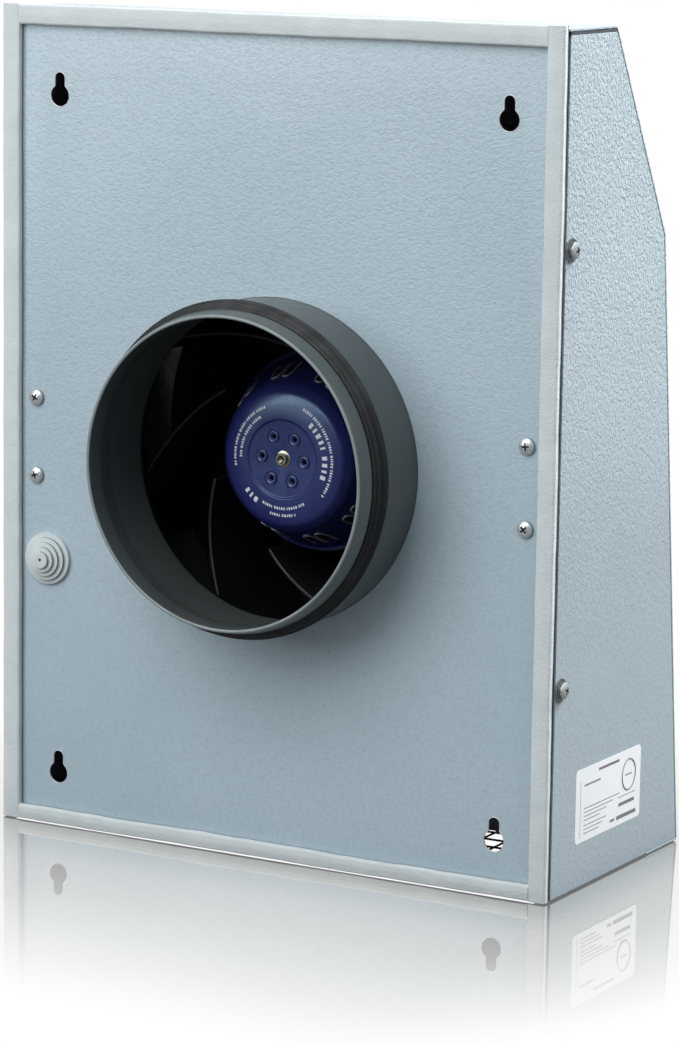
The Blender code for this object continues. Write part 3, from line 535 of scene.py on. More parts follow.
def make_materials():
    return {
        "plate": coated_steel("plate_steel", (0.41, 0.53, 0.60), (0.45, 0.57, 0.64), 1.0, 0.0001, 680.0,
                              (0.75, 1.2, 1.0), (0.0, radians(12), 0.0)),
        # 0.88 is painted shade on the cover's lower half.
        "steel": coated_steel("cover_steel", (0.43, 0.52, 0.57), (0.47, 0.56, 0.61), 0.88, 0.00042, 520.0,
                              (0.8, 1.35, 0.8), (radians(18), 0.0, 0.0)),
        "edge": bare_edge(), "galvanised": galvanised(),
        # The darker zincs are painted shade in the screws' cross recess and painted shadow round the rims of
        # their heads.
        "zinc": zinc(), "recess": zinc("screw_recess_painted_shade", 0.16), "shadow": zinc("screw_rim_painted_shadow", 0.3),
        # The grommet's risers take a darker copy of its rubber: painted shade.
        "grommet": grommet_rubber(), "riser_painted_shade": grommet_rubber("grommet_riser_painted_shade", 0.45),
        "foam": foam(), "duct": duct_grey(), "seal": seal_rubber(), "label": label_film(),
        "blue": motor_blue("motor_blue", (0.016, 0.020, 0.115), (0.022, 0.027, 0.145)),
        "eyelet": motor_blue("eyelet_blue", (0.045, 0.055, 0.17), (0.06, 0.07, 0.21)),
        # The pale blue of the loops round the rim pockets is a painted highlight.
        "loop_highlight": motor_blue("loop_highlight_blue", (0.20, 0.22, 0.27), (0.30, 0.32, 0.37)),
        "black": impeller_black(), "iron": laminated_iron(), "copper": copper(),
        "print": ink("dark_print", (0.16, 0.165, 0.18), (0.24, 0.245, 0.26)),
        "pale_print": ink("pale_print", (0.66, 0.69, 0.76), (0.80, 0.83, 0.88)),
        "cable": moulded("cable_sheath", (0.012, 0.012, 0.013), (0.02, 0.02, 0.021), 0.5),
        # A dark grey for the strip in the slit under the top sheet: painted shadow of the gap.
        "shadow_strip": moulded("shadow_strip_grey", (0.06, 0.072, 0.082), (0.09, 0.104, 0.115), 0.5),
        "box": moulded("box_plastic", (0.018, 0.018, 0.02), (0.028, 0.028, 0.03), 0.45),
        "pale": moulded("pale_plastic", (0.66, 0.66, 0.62), (0.74, 0.74, 0.70), 0.4),
        "shaft": machined("shaft_steel", (0.36, 0.36, 0.30), (0.48, 0.48, 0.41)),
        "centre": machined("shaft_centre", (0.16, 0.15, 0.11), (0.28, 0.27, 0.21)),
        "washer": machined("washer_steel", (0.36, 0.39, 0.40), (0.50, 0.53, 0.54)),
        "bearing": machined("bearing_steel", (0.60, 0.61, 0.63), (0.72, 0.73, 0.75)),
    }


# Mesh helpers

def new_piece(name, bm, material=None, angle=32):
    bmesh.ops.recalc_face_normals(bm, faces=bm.faces)
    mesh = bpy.data.meshes.new(name)
    bm.to_mesh(mesh)
    bm.free()
    if material:
        mesh.materials.append(material)
    mesh.shade_smooth()
    mesh.set_sharp_from_angle(angle=radians(angle))
    return placed(name, mesh)


def circle(count):
    """Angles of as many points, evenly round a circle."""
    return [2 * pi * k / count for k in range(count)]


def bridge(bm, rings):
    """Join rings of equally many points with faces, and close both ends."""
    bm.faces.new(rings[0])
    bm.faces.new(rings[-1])
    count = len(rings[0])
    for near, far in zip(rings, rings[1:]):
        for k in range(count):
            m = (k + 1) % count
            bm.faces.new((near[k], near[m], far[m], far[k]))


def install(piece, body, slot, *nodes):
    """The piece rides on a body and stands for CAD nodes, which are hidden; slot is not used."""
    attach(piece, body)
    if nodes:
        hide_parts(*nodes)
    return piece


def soften(piece, width, segments=2, angle=40):
    """Round the hard edges of a piece."""
    modifier = piece.modifiers.new("soften", "BEVEL")
    modifier.width, modifier.segments = width, segments
    modifier.limit_method, modifier.angle_limit = "ANGLE", radians(angle)
    modifier.miter_outer = "MITER_ARC"
    return piece


def depth_axis(x, z):
    """Maps local (across, across, along) to the row frame, for an axis along the depth."""
    return Matrix(((1, 0, 0, x), (0, 0, 1, WALL_Y), (0, 1, 0, z), (0, 0, 0, 1)))


def both_sides(heights):
    return [(side, z) for side in (-1, 1) for z in heights]


def side_axis(side, depth, z):
    """The same for an axis that points into the casing from its left or right side."""
    return Matrix(((0, 0, -side, side * SIDE_X), (1, 0, 0, y_at(depth)), (0, 1, 0, z), (0, 0, 0, 1)))


def spun(bm, profile, sides, place, closed=True):
    """Add a (radius, along) profile turned about the local axis; radius 0 makes a pole."""
    rings = []
    for radius, along in profile:
        turns = circle(sides) if radius > 1e-9 else [0.0]
        rings.append([bm.verts.new(place @ Vector((radius * cos(t), radius * sin(t), along))) for t in turns])
    for near, far in zip(rings, rings[1:] + (rings[:1] if closed else [])):
        for k in range(sides):
            m = (k + 1) % sides
            corners = [near[k % len(near)], near[m % len(near)], far[m % len(far)], far[k % len(far)]]
            corners = list(dict.fromkeys(corners))
            if len(corners) > 2:
                bm.faces.new(corners)


def turned(name, profile, material, place=None, sides=FINE, angle=32):
    """A turned piece; a profile that starts and ends on the axis is solid."""
    bm = bmesh.new()
    solid = profile[0][0] < 1e-9
    spun(bm, profile, sides, place or depth_axis(0, AXIS_Z), closed=not solid)
    return new_piece(name, bm, material, angle)


def arc(x, y, radius, start, sweep, steps):
    """Points on an arc about (x, y), both ends included."""
    turns = [start + sweep * k / steps for k in range(steps + 1)]
    return [(x + radius * cos(t), y + radius * sin(t)) for t in turns]


def fillet(points, radii, steps=5):
    """Round the corners of a closed outline with arcs; a radius of 0 keeps a corner sharp."""
    rounded = []
    for i, point in enumerate(points):
        corner, radius = Vector(point), radii[i]
        before = Vector(points[i - 1]) - corner
        after = Vector(points[(i + 1) % len(points)]) - corner
        straight = before.length < 1e-9 or after.length < 1e-9 or abs(before.angle(after) - pi) < 0.02
        if radius <= 0 or straight:
            rounded.append(tuple(corner))
            continue
        half = before.angle(after) / 2
        radius = min(radius, 0.48 * min(before.length, after.length) * tan(half))
        before, after = before.normalized(), after.normalized()
        centre = corner + (before + after).normalized() * radius / sin(half)
        start = corner + before * radius / tan(half) - centre
        sweep = (2 * half - pi) if before.cross(after) > 0 else (pi - 2 * half)
        rounded += arc(centre.x, centre.y, radius, atan2(start.y, start.x), sweep, steps)
    return rounded


def round_all(points, radius, steps=3):
    return fillet(points, [radius] * len(points), steps)


def offset_outline(points, distance):
    """Move every side of a convex outline, listed anticlockwise, inwards by distance."""
    sides = []
    for i, point in enumerate(points):
        way = (Vector(points[(i + 1) % len(points)]) - Vector(point)).normalized()
        sides.append((Vector(point) + Vector((-way.y, way.x)) * distance, way))
    moved = []
    for i, (q, e) in enumerate(sides):
        p, d = sides[i - 1]
        moved.append(tuple(p + d * ((q - p).cross(e) / d.cross(e))))
    return moved


def along_x(a, b, c):
    """(depth, z) outlines extruded along X."""
    return Vector((c, y_at(a), b))


def along_depth(a, b, c):
    """(x, z) outlines extruded along the depth."""
    return Vector((a, y_at(c), b))


def prism(name, outline, place, low, high, material=None):
    """An outline extruded from low to high; place gives the row-frame point."""
    bm = bmesh.new()
    bridge(bm, [[bm.verts.new(place(a, b, c)) for a, b in outline] for c in (low, high)])
    return new_piece(name, bm, material)


def block(bm, low, high):
    """Add a plain box to a mesh in the making."""
    for vert in bmesh.ops.create_cube(bm, size=1.0)["verts"]:
        vert.co = [(low[a] + high[a]) / 2 + vert.co[a] * (high[a] - low[a]) for a in range(3)]


def tube(bm, points, radius, sides=10):
    """Add a round bar along points; its ends are closed."""
    rings, across = [], None
    for i, point in enumerate(points):
        along = (points[min(i + 1, len(points) - 1)] - points[max(i - 1, 0)]).normalized()
        if across is None:
            across = along.orthogonal().normalized()
        across = (across - along * across.dot(along)).normalized()
        up = along.cross(across)
        rings.append([bm.verts.new(point + (across * cos(t) + up * sin(t)) * radius) for t in circle(sides)])
    bridge(bm, rings)


def carve(target, cutters):
    """Subtract the cutters; the cut faces keep the cutters' material."""
    for cutter in cutters:
        modifier = target.modifiers.new("carve", "BOOLEAN")
        modifier.operation, modifier.solver = "DIFFERENCE", "EXACT"
        modifier.material_mode, modifier.object = "TRANSFER", cutter
        graph = bpy.context.evaluated_depsgraph_get()
        mesh = bpy.data.meshes.new_from_object(target.evaluated_get(graph))
        target.modifiers.clear()
        target.data = mesh
        bpy.data.objects.remove(cutter, do_unlink=True)
    mesh.shade_smooth()
    mesh.set_sharp_from_angle(angle=radians(32))


def circle_outline(x, z, radius, sides):
    return arc(x, z, radius, 0.0, 2 * pi, sides)[:-1]


# Casing

def keyhole_outline(x, z):
    """A round part with a narrower, round-ended slot going up from it, as (x, z) points."""
    half = KEY_SLOT_W / 2
    start = asin(half / KEY_HEAD_R)
    head = arc(x, z, KEY_HEAD_R, pi / 2 + start, 2 * pi - 2 * start, 40)
    return head + arc(x, z + KEY_RISE, half, 0.0, pi, 16)


def make_burrs(mats, places):
    """The bright, slightly raised edges that the punch left round the keyholes."""
    bm = bmesh.new()
    for x, z in places:
        loop = [along_depth(a, b, FOAM_T + 0.05 * MM) for a, b in keyhole_outline(x, z)]
        tube(bm, loop + loop[:2], 0.2 * MM, 8)
    install(new_piece("keyhole_burrs", bm, mats["edge"], 60), "casing", "coated_steel")


def folded_tray(half_w, bottom, top, near, far, radius, material):
    """A box whose edges round the wall side are folds."""
    bm = bmesh.new()
    block(bm, (-half_w, y_at(near), bottom), (half_w, y_at(far), top))
    folds = [e for e in bm.edges if any(v.co.y < y_at(near) + 1e-6 for v in e.verts)]
    bmesh.ops.bevel(bm, geom=folds, offset=radius, segments=5, profile=0.5, affect="EDGES")
    return new_piece("embossed_back_plate", bm, material)


def make_back_plate(mats):
    """A tray of sheet with folded edges and punched holes."""
    fold, far, sheet = 1.6 * MM, FOAM_T + PLATE_EDGE, mats["plate"]
    plate = folded_tray(PLATE_HALF_W, 0.0, PLATE_TOP, FOAM_T, far, fold, sheet)
    hollow = folded_tray(PLATE_HALF_W - SHEET, SHEET, PLATE_TOP - SHEET, PLATE_BACK, far + SHEET,
                         fold - SHEET, sheet)
    keyholes = [(side * KEY_X, z) for side, z in both_sides(KEY_Z)]
    outlines = [circle_outline(0, AXIS_Z, COLLAR_R + 0.2 * MM, FINE),
                circle_outline(GROMMET_X, GROMMET_Z, 11.0 * MM, MIDDLE)]
    outlines += [keyhole_outline(x, z) for x, z in keyholes]
    outlines += [circle_outline(side * BRACKET_SCREW_X, z, HOLE_R, SMALL)
                 for side, z in both_sides(BRACKET_SCREW_Z)]
    carve(plate, [hollow] + [prism("cutter", outline, along_depth, FOAM_T - SHEET, PLATE_BACK + SHEET,
                                   mats["edge"]) for outline in outlines])
    install(plate, "casing", "coated_steel", "back_plate")
    make_burrs(mats, keyholes)


def make_cover(mats):
    """One sheet wraps over the top, slope and front; the two side panels stand inside its edges."""
    outer = [(FOAM_T, 0.0), (DEPTH_FOOT, 0.0), (DEPTH_BEND, BEND_Z), (DEPTH_TOP, CASE_H), (FOAM_T, CASE_H)]
    inner = offset_outline(outer, SHEET)
    foot_r, corner = 1.6 * MM, FOLD_R - SHEET
    wrap = [*outer[:0:-1], (OUTLET_DEPTH, 0.0), (OUTLET_DEPTH, SHEET), *inner[1:4], (FOAM_T, CASE_H - SHEET)]
    radii = [0, FOLD_R, FOLD_R, foot_r, 0, 0, foot_r - SHEET, corner, corner, 0]
    cover = prism("cover_wrap", fillet(wrap, radii, 10), along_x, -SIDE_X, SIDE_X, mats["steel"])
    install(soften(cover, 0.18 * MM), "casing", "coated_steel", "outer_cover")
    close = offset_outline(outer, SHEET + SEAM)
    bottom, wall_edge, outlet = 0.4 * MM, FOAM_T + WALL_SLIT, OUTLET_DEPTH - SEAM
    slope = Vector(close[2]) - Vector(close[3])
    top = close[3][1] - TOP_SLIT
    top_depth = close[3][0] + slope.x * TOP_SLIT / -slope.y
    panel = [(wall_edge, bottom), (outlet, bottom), (outlet, close[1][1]), close[1], close[2],
             (top_depth, top), (wall_edge, top)]
    panel = fillet(panel, [0, 0, 0, 1.2 * MM, corner, corner, 0.5 * MM], 8)
    # A dark grey strip in the slit under the top sheet stands for its shadow: painted shadow.
    shadow_strip = [(wall_edge, top - SHEET), (top_depth - SHEET, top - SHEET), (top_depth, top), close[3],
            (wall_edge, close[3][1])]
    shadow_strip = fillet(shadow_strip, [0, 0, 0, corner, 0], 8)
    for side, name in ((-1, "left"), (1, "right")):
        for piece, outline, finish, inset, thick, rounding in (
                ("side_panel", panel, "steel", PANEL_INSET, SHEET, (0.28 * MM, 3)),
                ("top_shadow_strip", shadow_strip, "shadow_strip", PANEL_INSET + 0.1 * MM, 0.8 * MM, (0.2 * MM, 2))):
            faces = sorted((side * (SIDE_X - inset), side * (SIDE_X - inset - thick)))
            made = prism(f"{piece}_{name}", outline, along_x, *faces, mats[finish])
            install(soften(made, *rounding), "casing", "coated_steel")


def ripple(place, seed):
    """A smooth wander in -1..1 along a foam strip's length, in metres."""
    waves = ((41.0, 0.5), (97.0, 0.28), (211.0, 0.22), (433.0, 0.10))
    return sum(size * sin(place * rate + seed * (3.1 + n)) for n, (rate, size) in enumerate(waves))


def foam_strip(side, level, across, length, seed, wander, soft, material):
    """A level or upright strip of foam; its long edges wander and its face swells a little.

    soft holds the radii of the face's edges.
    """
    (low, high), (start, end), crest, square = across, length, 0.25 * MM, 0.3 * MM
    count = max(12, round((end - start) / (2.2 * MM)))
    back = FOAM_T - 0.1 * MM
    bm, rings = bmesh.new(), []
    for i in range(count + 1):
        along = start + (end - start) * i / count
        near, far, face = [size * (1 + ripple(along, seed + shift)) * 0.5 for size, shift in (
            (min(wander, 0.42 * MM), 0.0), (wander, 5.0), (0.22 * MM, 9.0))]
        near, far = low + near, high - far
        outline = [(near, back), (near, face + crest), ((near + far) / 2, face), (far, face + crest),
                   (far, back)]
        outline = fillet(outline, (square, soft[0], 6 * MM, soft[1], square))
        rings.append([bm.verts.new(along_depth(along, a, d) if level else along_depth(a, along, d))
                      for a, d in outline])
    bridge(bm, rings)
    piece = soften(new_piece(f"foam_strip_{side}", bm, material, 60), 0.2 * MM, 3, 60)
    install(piece, "casing", "foam", f"foam_seal_{side}")


def make_foam(mats):
    """Upright strips run the full height; the top and bottom strips butt between them."""
    for k, side in enumerate(("left", "right", "top", "bottom")):
        low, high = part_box(f"foam_seal_{side}")
        level = side in ("top", "bottom")
        across, along, stretch = (2, 0, 0.9 * MM) if level else (0, 2, -0.1 * MM)
        if side == "right":
            high.x = SIDE_X - 0.1 * MM
        wander, first = (0.9 * MM, 0.5 * MM) if side == "bottom" else (0.42 * MM, 1.3 * MM)
        length = (low[along] - stretch, high[along] + stretch)
        foam_strip(side, level, (low[across], high[across]), length, 1.0 + 1.3 * k, wander,
                   (first, 1.3 * MM), mats["foam"])


def make_spigot(mats):
    """A moulded collar with a rolled lip, a groove for the seal and step rings in its bore."""
    groove_r = TIP_R - 0.6 * MM
    flange = PLATE_BACK + 0.3 * MM
    end = flange + 1.2 * MM
    bore = LIP_R - SPIGOT_WALL
    profile = [(LIP_R, -SPIGOT_REACH), (TIP_R, -35.5 * MM), (groove_r, -34.9 * MM), (groove_r, -24.0 * MM),
               (COLLAR_R, -23.4 * MM), (COLLAR_R, flange), (SPIGOT_FLANGE_R, flange), (SPIGOT_FLANGE_R, end),
               (TIP_R, end), (TIP_R, -13.0 * MM), (TIP_R - 0.5 * MM, -13.5 * MM),
               (TIP_R - 0.7 * MM, -22.5 * MM), (TIP_R - 1.2 * MM, -23.0 * MM),
               (bore + 0.6 * MM, -33.0 * MM), (bore + 0.2 * MM, -33.5 * MM), (bore, -SPIGOT_REACH)]
    radii = [0.7, 0.5, 0.1, 0.1, 0.5, 0.5, 0.3, 0.3, 0.3, 0.2, 0.2, 0.2, 0.2, 0.2, 0.2, 0.7]
    spigot = turned("duct_collar", fillet(profile, mm(*radii), 4), mats["duct"], sides=224)
    install(spigot, "casing", "duct_grey", "duct_spigot")


def make_seal(mats):
    """A rubber band with a row of fine lips; the ones in the middle are the tallest."""
    base = TIP_R - 0.3 * MM
    near, far = SEAL_DEPTHS
    lips = ((0.10, 1.6), (0.27, 3.1), (0.43, 3.3), (0.62, 4.3), (0.80, 3.6), (0.94, 2.2))
    valley = 0.85 * MM
    profile = [(base, near)]
    width = (far - near) * 0.055
    for share, height in lips:
        middle, top = near + (far - near) * share, base + height * MM
        profile += [(top - valley, middle - width), (top, middle - width * 0.4), (top, middle + width * 0.4),
                    (top - valley, middle + width)]
    profile += [(base, far)]
    seal = turned("lip_seal", round_all(profile, 0.25 * MM, 3), mats["seal"], sides=224)
    install(seal, "casing", "seal_rubber", "spigot_seal")


# Fasteners

def cross_cutters(material):
    """Two tapered bars that cross, one at a time, for a driver's tip."""
    top, deep, wide, narrow = -SCREW_HEAD_H - 0.3 * MM, -0.9 * MM, 2.2 * MM, 0.5 * MM
    cutters = []
    for long_way in (0, 1):
        bm, rings = bmesh.new(), []
        for along, length, width in ((top, wide, narrow), (deep, wide * 0.45, narrow * 0.6)):
            reach = (length, width) if long_way else (width, length)
            rings.append([bm.verts.new((a * reach[0], b * reach[1], along)) for a, b in SQUARE])
        bridge(bm, rings)
        cutters.append(new_piece("cutter", bm, material))
    return cutters


def pan_head_mesh(mats, length):
    """A pan-head screw about the local axis: head below 0, threaded shank above."""
    dome = [(SCREW_HEAD_R * sin(t), SCREW_HEAD_H * (0.62 * (1 - cos(t)) - 1))
            for t in [pi / 20 * k for k in range(11)]]
    profile = dome + [(SCREW_HEAD_R, -0.25 * MM), (SCREW_HEAD_R - 0.25 * MM, 0.0), (SCREW_R, 0.0)]
    pitch = 0.8 * MM
    for k in range(int((length - 2 * MM) / pitch)):
        start = 0.6 * MM + k * pitch
        profile += [(SCREW_R - 0.35 * MM, start), (SCREW_R, start + pitch * 0.5)]
    profile += [(SCREW_R * 0.7, length - 0.5 * MM), (0.0, length)]
    screw = turned("screw", profile, mats["zinc"], Matrix.Identity(4), SMALL, 40)
    # The cross recess's faces take the darker zinc: painted shade.
    carve(screw, cross_cutters(mats["recess"]))
    mesh = screw.data
    # The head's rim next to its seat takes the darker zinc: painted shadow.
    mesh.materials.append(mats["shadow"])
    for face in mesh.polygons:
        x, y, z = face.center
        if hypot(x, y) > 0.9 * SCREW_HEAD_R and z > -0.8 * MM:
            face.material_index = len(mesh.materials) - 1
    bpy.data.objects.remove(screw)
    return mesh


def screw_piece(name, mesh, place, twist, node):
    """A copy of the screw mesh on its seat, with its cross turned by twist."""
    copy = mesh.copy()
    copy.transform(place @ Matrix.Rotation(twist, 4, "Z"))
    if place.to_3x3().determinant() < 0:
        copy.flip_normals()
    install(placed(name, copy), "casing", "zinc", node)


def make_screws(mats):
    mesh = pan_head_mesh(mats, 9.0 * MM)
    twists = (0.3, 1.1, 0.7, 0.1)
    for i, (side, z) in enumerate(both_sides(BRACKET_SCREW_Z), 1):
        place = depth_axis(side * BRACKET_SCREW_X, z) @ Matrix.Translation((0, 0, FOAM_T - 0.1 * MM))
        screw_piece(f"pan_head_plate_{i}", mesh, place, twists[i - 1], f"bracket_screw_{i}")
    for i, (side, z) in enumerate(both_sides(COVER_SCREW_Z), 1):
        axis = side_axis(side, COVER_SCREW_DEPTH, z)
        make_washer(f"flat_washer_{i}", axis, mats, f"cover_washer_{i}")
        place = axis @ Matrix.Translation((0, 0, -WASHER_T))
        screw_piece(f"pan_head_side_{i}", mesh, place, twists[-i], f"cover_screw_{i}")


def make_washer(name, axis, mats, node):
    """A stamped ring with a raised inner rim."""
    shelf = -0.7 * MM
    profile = [(HOLE_R, 0.2 * MM), (WASHER_R, 0.2 * MM), (WASHER_R, -0.45 * MM), (WASHER_R - 0.9 * MM, shelf),
               (SCREW_HEAD_R + 0.2 * MM, shelf), (SCREW_HEAD_R, -WASHER_T), (HOLE_R, -WASHER_T)]
    piece = turned(name, round_all(profile, 0.15 * MM), mats["washer"], axis, 48)
    install(piece, "casing", "zinc", node)


def make_grommet(mats):
    """Stepped cone of rubber, hollow behind, with a small hole in its tip; sizes in millimetres."""
    steps = ((12.8, 2.0), (10.6, 0.6), (8.4, -1.0), (6.3, -2.5), (4.2, -4.0))
    hole, near, far = 0.7, FOAM_T / MM - 0.1, PLATE_BACK / MM + 0.1
    profile, front = [(hole, -4.0)], -4.0
    for radius, depth in reversed(steps):
        profile += [(radius, front), (radius + 0.05, depth + 1.5)]
        front = depth + 1.5
    profile = profile[:-1] + [(12.9, near), (10.7, near), (10.7, far), (12.6, far), (12.0, far + 2.1),
                              (9.0, far + 2.1), (9.0, 3.6), (2.8, -2.4), (hole, -2.4)]
    profile = round_all([mm(*point) for point in profile], 0.2 * MM)
    grommet = turned("stepped_grommet", profile, mats["grommet"], depth_axis(GROMMET_X, GROMMET_Z), 96)
    # The risers between the steps take the darker rubber: painted shade.
    grommet.data.materials.append(mats["riser_painted_shade"])
    for face in grommet.data.polygons:
        if abs(face.normal.y) < 0.6 and face.center.y < y_at(2.0 * MM):
            face.material_index = 1
    install(grommet, "casing", "grommet_rubber", "cable_grommet")


def make_label(mats):
    """A white film with plain rules, bars and a ring in place of any wording."""
    (near, far), (low, high) = LABEL_DEPTH, LABEL_Z
    face = SIDE_X - PANEL_INSET
    corners = [(near, low), (far, low), (far, high), (near, high)]
    corners = round_all(corners, 2.5 * MM, 8)
    film = prism("label_film", corners, along_x, face, face + 0.12 * MM, mats["label"])
    install(film, "casing", "label", "rating_label")
    bm = bmesh.new()
    lift = face + 0.16 * MM
    bars = [(5.0, 2.0, 0.25, 28.0), (24.0, 31.4, 22.0, 1.3), (9.0, 26.6, 17.0, 0.8), (45.0, 13.4, 19.0, 0.35),
            (46.0, 9.0, 17.0, 1.7), (37.0, 3.2, 5.0, 1.2), (44.0, 2.8, 21.0, 1.9), (53.0, 22.9, 7.0, 0.6)]
    bars += [(9.0, 15.6 - row * 1.9, 38.0 - row * 7.0, 0.4) for row in range(4)]
    bars += [(9.0, 7.4 - row * 1.9, 24.0 - row * 4.0, 0.4) for row in range(3)]
    for depth, z, width, height in bars:
        block(bm, (face + 0.1 * MM, y_at(near + depth * MM), low + z * MM),
              (lift, y_at(near + (depth + width) * MM), low + (z + height) * MM))
    ring = [along_x(near + (56.5 + 7.2 * cos(t)) * MM, low + (23.2 + 7.5 * sin(t)) * MM, lift)
            for t in circle(48) + [0.0]]
    tube(bm, ring, 0.3 * MM, 6)
    install(new_piece("label_print", bm, mats["print"]), "casing", "label")


def make_guard(mats):
    """Round wires both ways, one layer on the other and sunk together at their welds."""
    half_x = SIDE_X - SHEET - 1.9 * MM
    near, far = PLATE_BACK + 0.4 * MM, OUTLET_DEPTH + 3.4 * MM
    radius, bend = MESH_WIRE / 2, 0.12 * MM
    bottom = SHEET + 0.3 * MM + radius
    top = bottom + MESH_WIRE * 0.82
    bm = bmesh.new()
    for k in range(-11, 12):
        x = MESH_X0 + k * MESH_PITCH
        tube(bm, [Vector((x + bend * sin(9 * s + k), y_at(near + (far - near) * s / 8), bottom))
                  for s in range(9)], radius, 12)
    for k in range(8):
        depth = MESH_DEPTH0 + k * MESH_PITCH
        tube(bm, [Vector((half_x * (s / 12 - 1), y_at(depth + bend * sin(7 * s + k)), top))
                  for s in range(25)], radius, 12)
    guard = new_piece("welded_mesh", bm, mats["galvanised"], 50)
    install(guard, "casing", "galvanised", "outlet_guard")


# Motor and impeller

def cap_depth(radius):
    """Depth of the cup's end at a radius: flat in the middle, then falling back a little."""
    return CAP_FACE + CAP_CROWN * (max(0.0, radius - CROWN_START) / (CAP_CROWN_R - CROWN_START)) ** 2


def cone_radius(depth):
    share = (depth - CONE_FRONT[1]) / (CONE_REAR[1] - CONE_FRONT[1])
    return CONE_FRONT[0] + (CONE_REAR[0] - CONE_FRONT[0]) * share


def round_axis(radius, turn, depth):
    """The point at a radius, an angle and a depth about the duct's axis."""
    return Vector((radius * cos(turn), y_at(depth), AXIS_Z + radius * sin(turn)))


def make_rotor_cup(mats):
    """A painted cup: a crowned end with a shallow recess and six eyelets, a cone and a thin rim."""
    recess, hollow, lower = CAP_FACE + RECESS, CAP_FACE + 3.2 * MM, 18.0 * MM
    bore, inside, boss_r, boss_end = SHAFT_R + 0.2 * MM, CUP_R - CUP_WALL, 8.5 * MM, 30 * MM
    crown = [CROWN_START + (CAP_CROWN_R - CROWN_START) * k / 6 for k in range(7)]
    profile = [(bore, recess), (RECESS_R, recess)] + [(r, cap_depth(r)) for r in crown]
    profile += [(32.2 * MM, CAP_FACE + 2.1 * MM), (cone_radius(lower) - 0.1 * MM, lower), CONE_REAR,
                (RIM_R, RIM_FACE), (RIM_R, RIM_REAR), (CUP_R, RIM_REAR), (CUP_R, CUP_END), (inside, CUP_END),
                (inside, RIM_FACE), (CONE_FRONT[0] - 2.0 * MM, hollow + 4.5 * MM),
                (CAP_CROWN_R, hollow + 1.5 * MM), (boss_r, hollow), (boss_r, boss_end), (bore, boss_end)]
    radii = [0.3, 0.6, 0.5] + [0] * 6 + [6.0, 7.0, 1.2, 0.5, 0.5] + [0.3] * 9
    cup = turned("painted_rotor_cup", fillet(profile, mm(*radii), 6), mats["blue"], sides=192)
    holes = arc(0.0, AXIS_Z, CUP_HOLE_RING, CUP_TURN, 2 * pi, 6)[:-1]
    places = [depth_axis(x, z) for x, z in holes]
    seat, hole, floor = 3.45 * MM, 1.9 * MM, recess + 0.7 * MM
    stepped = [(0.0, CAP_FACE - SHEET), (seat, CAP_FACE - SHEET), (seat, floor), (hole, floor),
               (hole, hollow + SHEET), (0.0, hollow + SHEET)]
    carve(cup, [turned("cutter", stepped, mats["blue"], place, SMALL) for place in places])
    install(cup, "rotor", "motor_blue", "rotor_cup")
    eyelet = ((1.9, 0.6), (3.0, 0.6), (2.9, -0.3), (2.4, -0.6), (1.7, -0.1), (1.1, 0.5), (1.0, 1.4),
              (1.9, 1.4))
    eyelet = round_all([(r * MM, recess + d * MM) for r, d in eyelet], 0.2 * MM, 2)
    bm = bmesh.new()
    for place in places:
        spun(bm, eyelet, 40, place)
    install(new_piece("rotor_eyelets", bm, mats["eyelet"]), "rotor", "motor_blue")
    make_rim_pockets(mats)


def make_rim_pockets(mats):
    """Pairs of raised loops on the cup's cone, open towards the rim and painted paler as a highlight, with a
    dark patch of painted shade in each.
    """
    pairs, half_gap, half_w, steps, first = 10, radians(4.7), radians(3.7), 24, radians(104)
    closed_end, open_end, wire, high, deep = mm(24.5, 37.5, 0.5, 0.12, -0.3)
    loops, shade_patches = bmesh.new(), bmesh.new()
    for k in range(2 * pairs):
        middle = first + pi * (k - k % 2) / pairs + (half_gap if k % 2 else -half_gap)

        def on_cone(n, lift):
            t = pi * n / steps
            depth = open_end - (open_end - closed_end) * sin(t) ** 0.55
            turn = middle + half_w * (1 if cos(t) > 0 else -1) * abs(cos(t)) ** 0.6
            return round_axis(cone_radius(depth) + lift, turn, depth)

        tube(loops, [on_cone(n, 0.15 * MM) for n in range(steps + 1)], wire, 8)
        # Dark patches inside the loops, in the impeller's black: painted shade.
        rows = [((n, high), (steps - n, high), (steps - n, deep), (n, deep)) for n in range(1, steps // 2)]
        bridge(shade_patches, [[shade_patches.verts.new(on_cone(*corner)) for corner in row] for row in rows])
    install(new_piece("rotor_rim_pockets", loops, mats["loop_highlight"], 60), "rotor", "motor_blue")
    install(new_piece("rotor_pocket_shade", shade_patches, mats["black"], 60), "rotor", "motor_blue")


def arc_bar(bm, radius, height, start, end):
    """Add a thin raised bar, bent round the rotor's axis, on the cup's end."""
    count = max(2, round(abs(end - start) / radians(3)))
    outer, lift = radius + height, 0.06 * MM
    corners = [(r, cap_depth(r) + rise) for r, rise in ((radius, lift), (outer, lift), (outer, -lift),
                                                        (radius, -lift))]
    turns = [start + (end - start) * k / count for k in range(count + 1)]
    bridge(bm, [[bm.verts.new(round_axis(r, t, d)) for r, d in corners] for t in turns])


def make_rotor_marks(mats):
    """Rows of plain dashes bent round the end of the motor, in place of its printed data."""
    small, bold = 1.3, 2.7
    rows = ((25.6, small, 112, 190), (22.2, small, 122, 182), (26.6, small, 66, -36), (22.2, bold, 50, -20),
            (23.8, bold, 219, 240), (23.2, small, 244, 300), (26.6, small, 256, 286))
    widths = (1.0, 0.7, 1.15, 0.85, 0.6, 1.05)
    bm = bmesh.new()
    for radius, height, start, end in rows:
        way = 1 if end > start else -1
        length, gap = (0.8, 0.5) if height == small else (1.6, 1.5)
        turn, k = radians(start), 0
        while (radians(end) - turn) * way > 0:
            span = length * widths[k % len(widths)] / radius
            arc_bar(bm, radius * MM, height * MM, turn, turn + way * span)
            turn += way * (span + gap * (1 + (k % 5 == 4) * 1.2) / radius)
            k += 1
    install(new_piece("rotor_marks", bm, mats["pale_print"]), "rotor", "label")


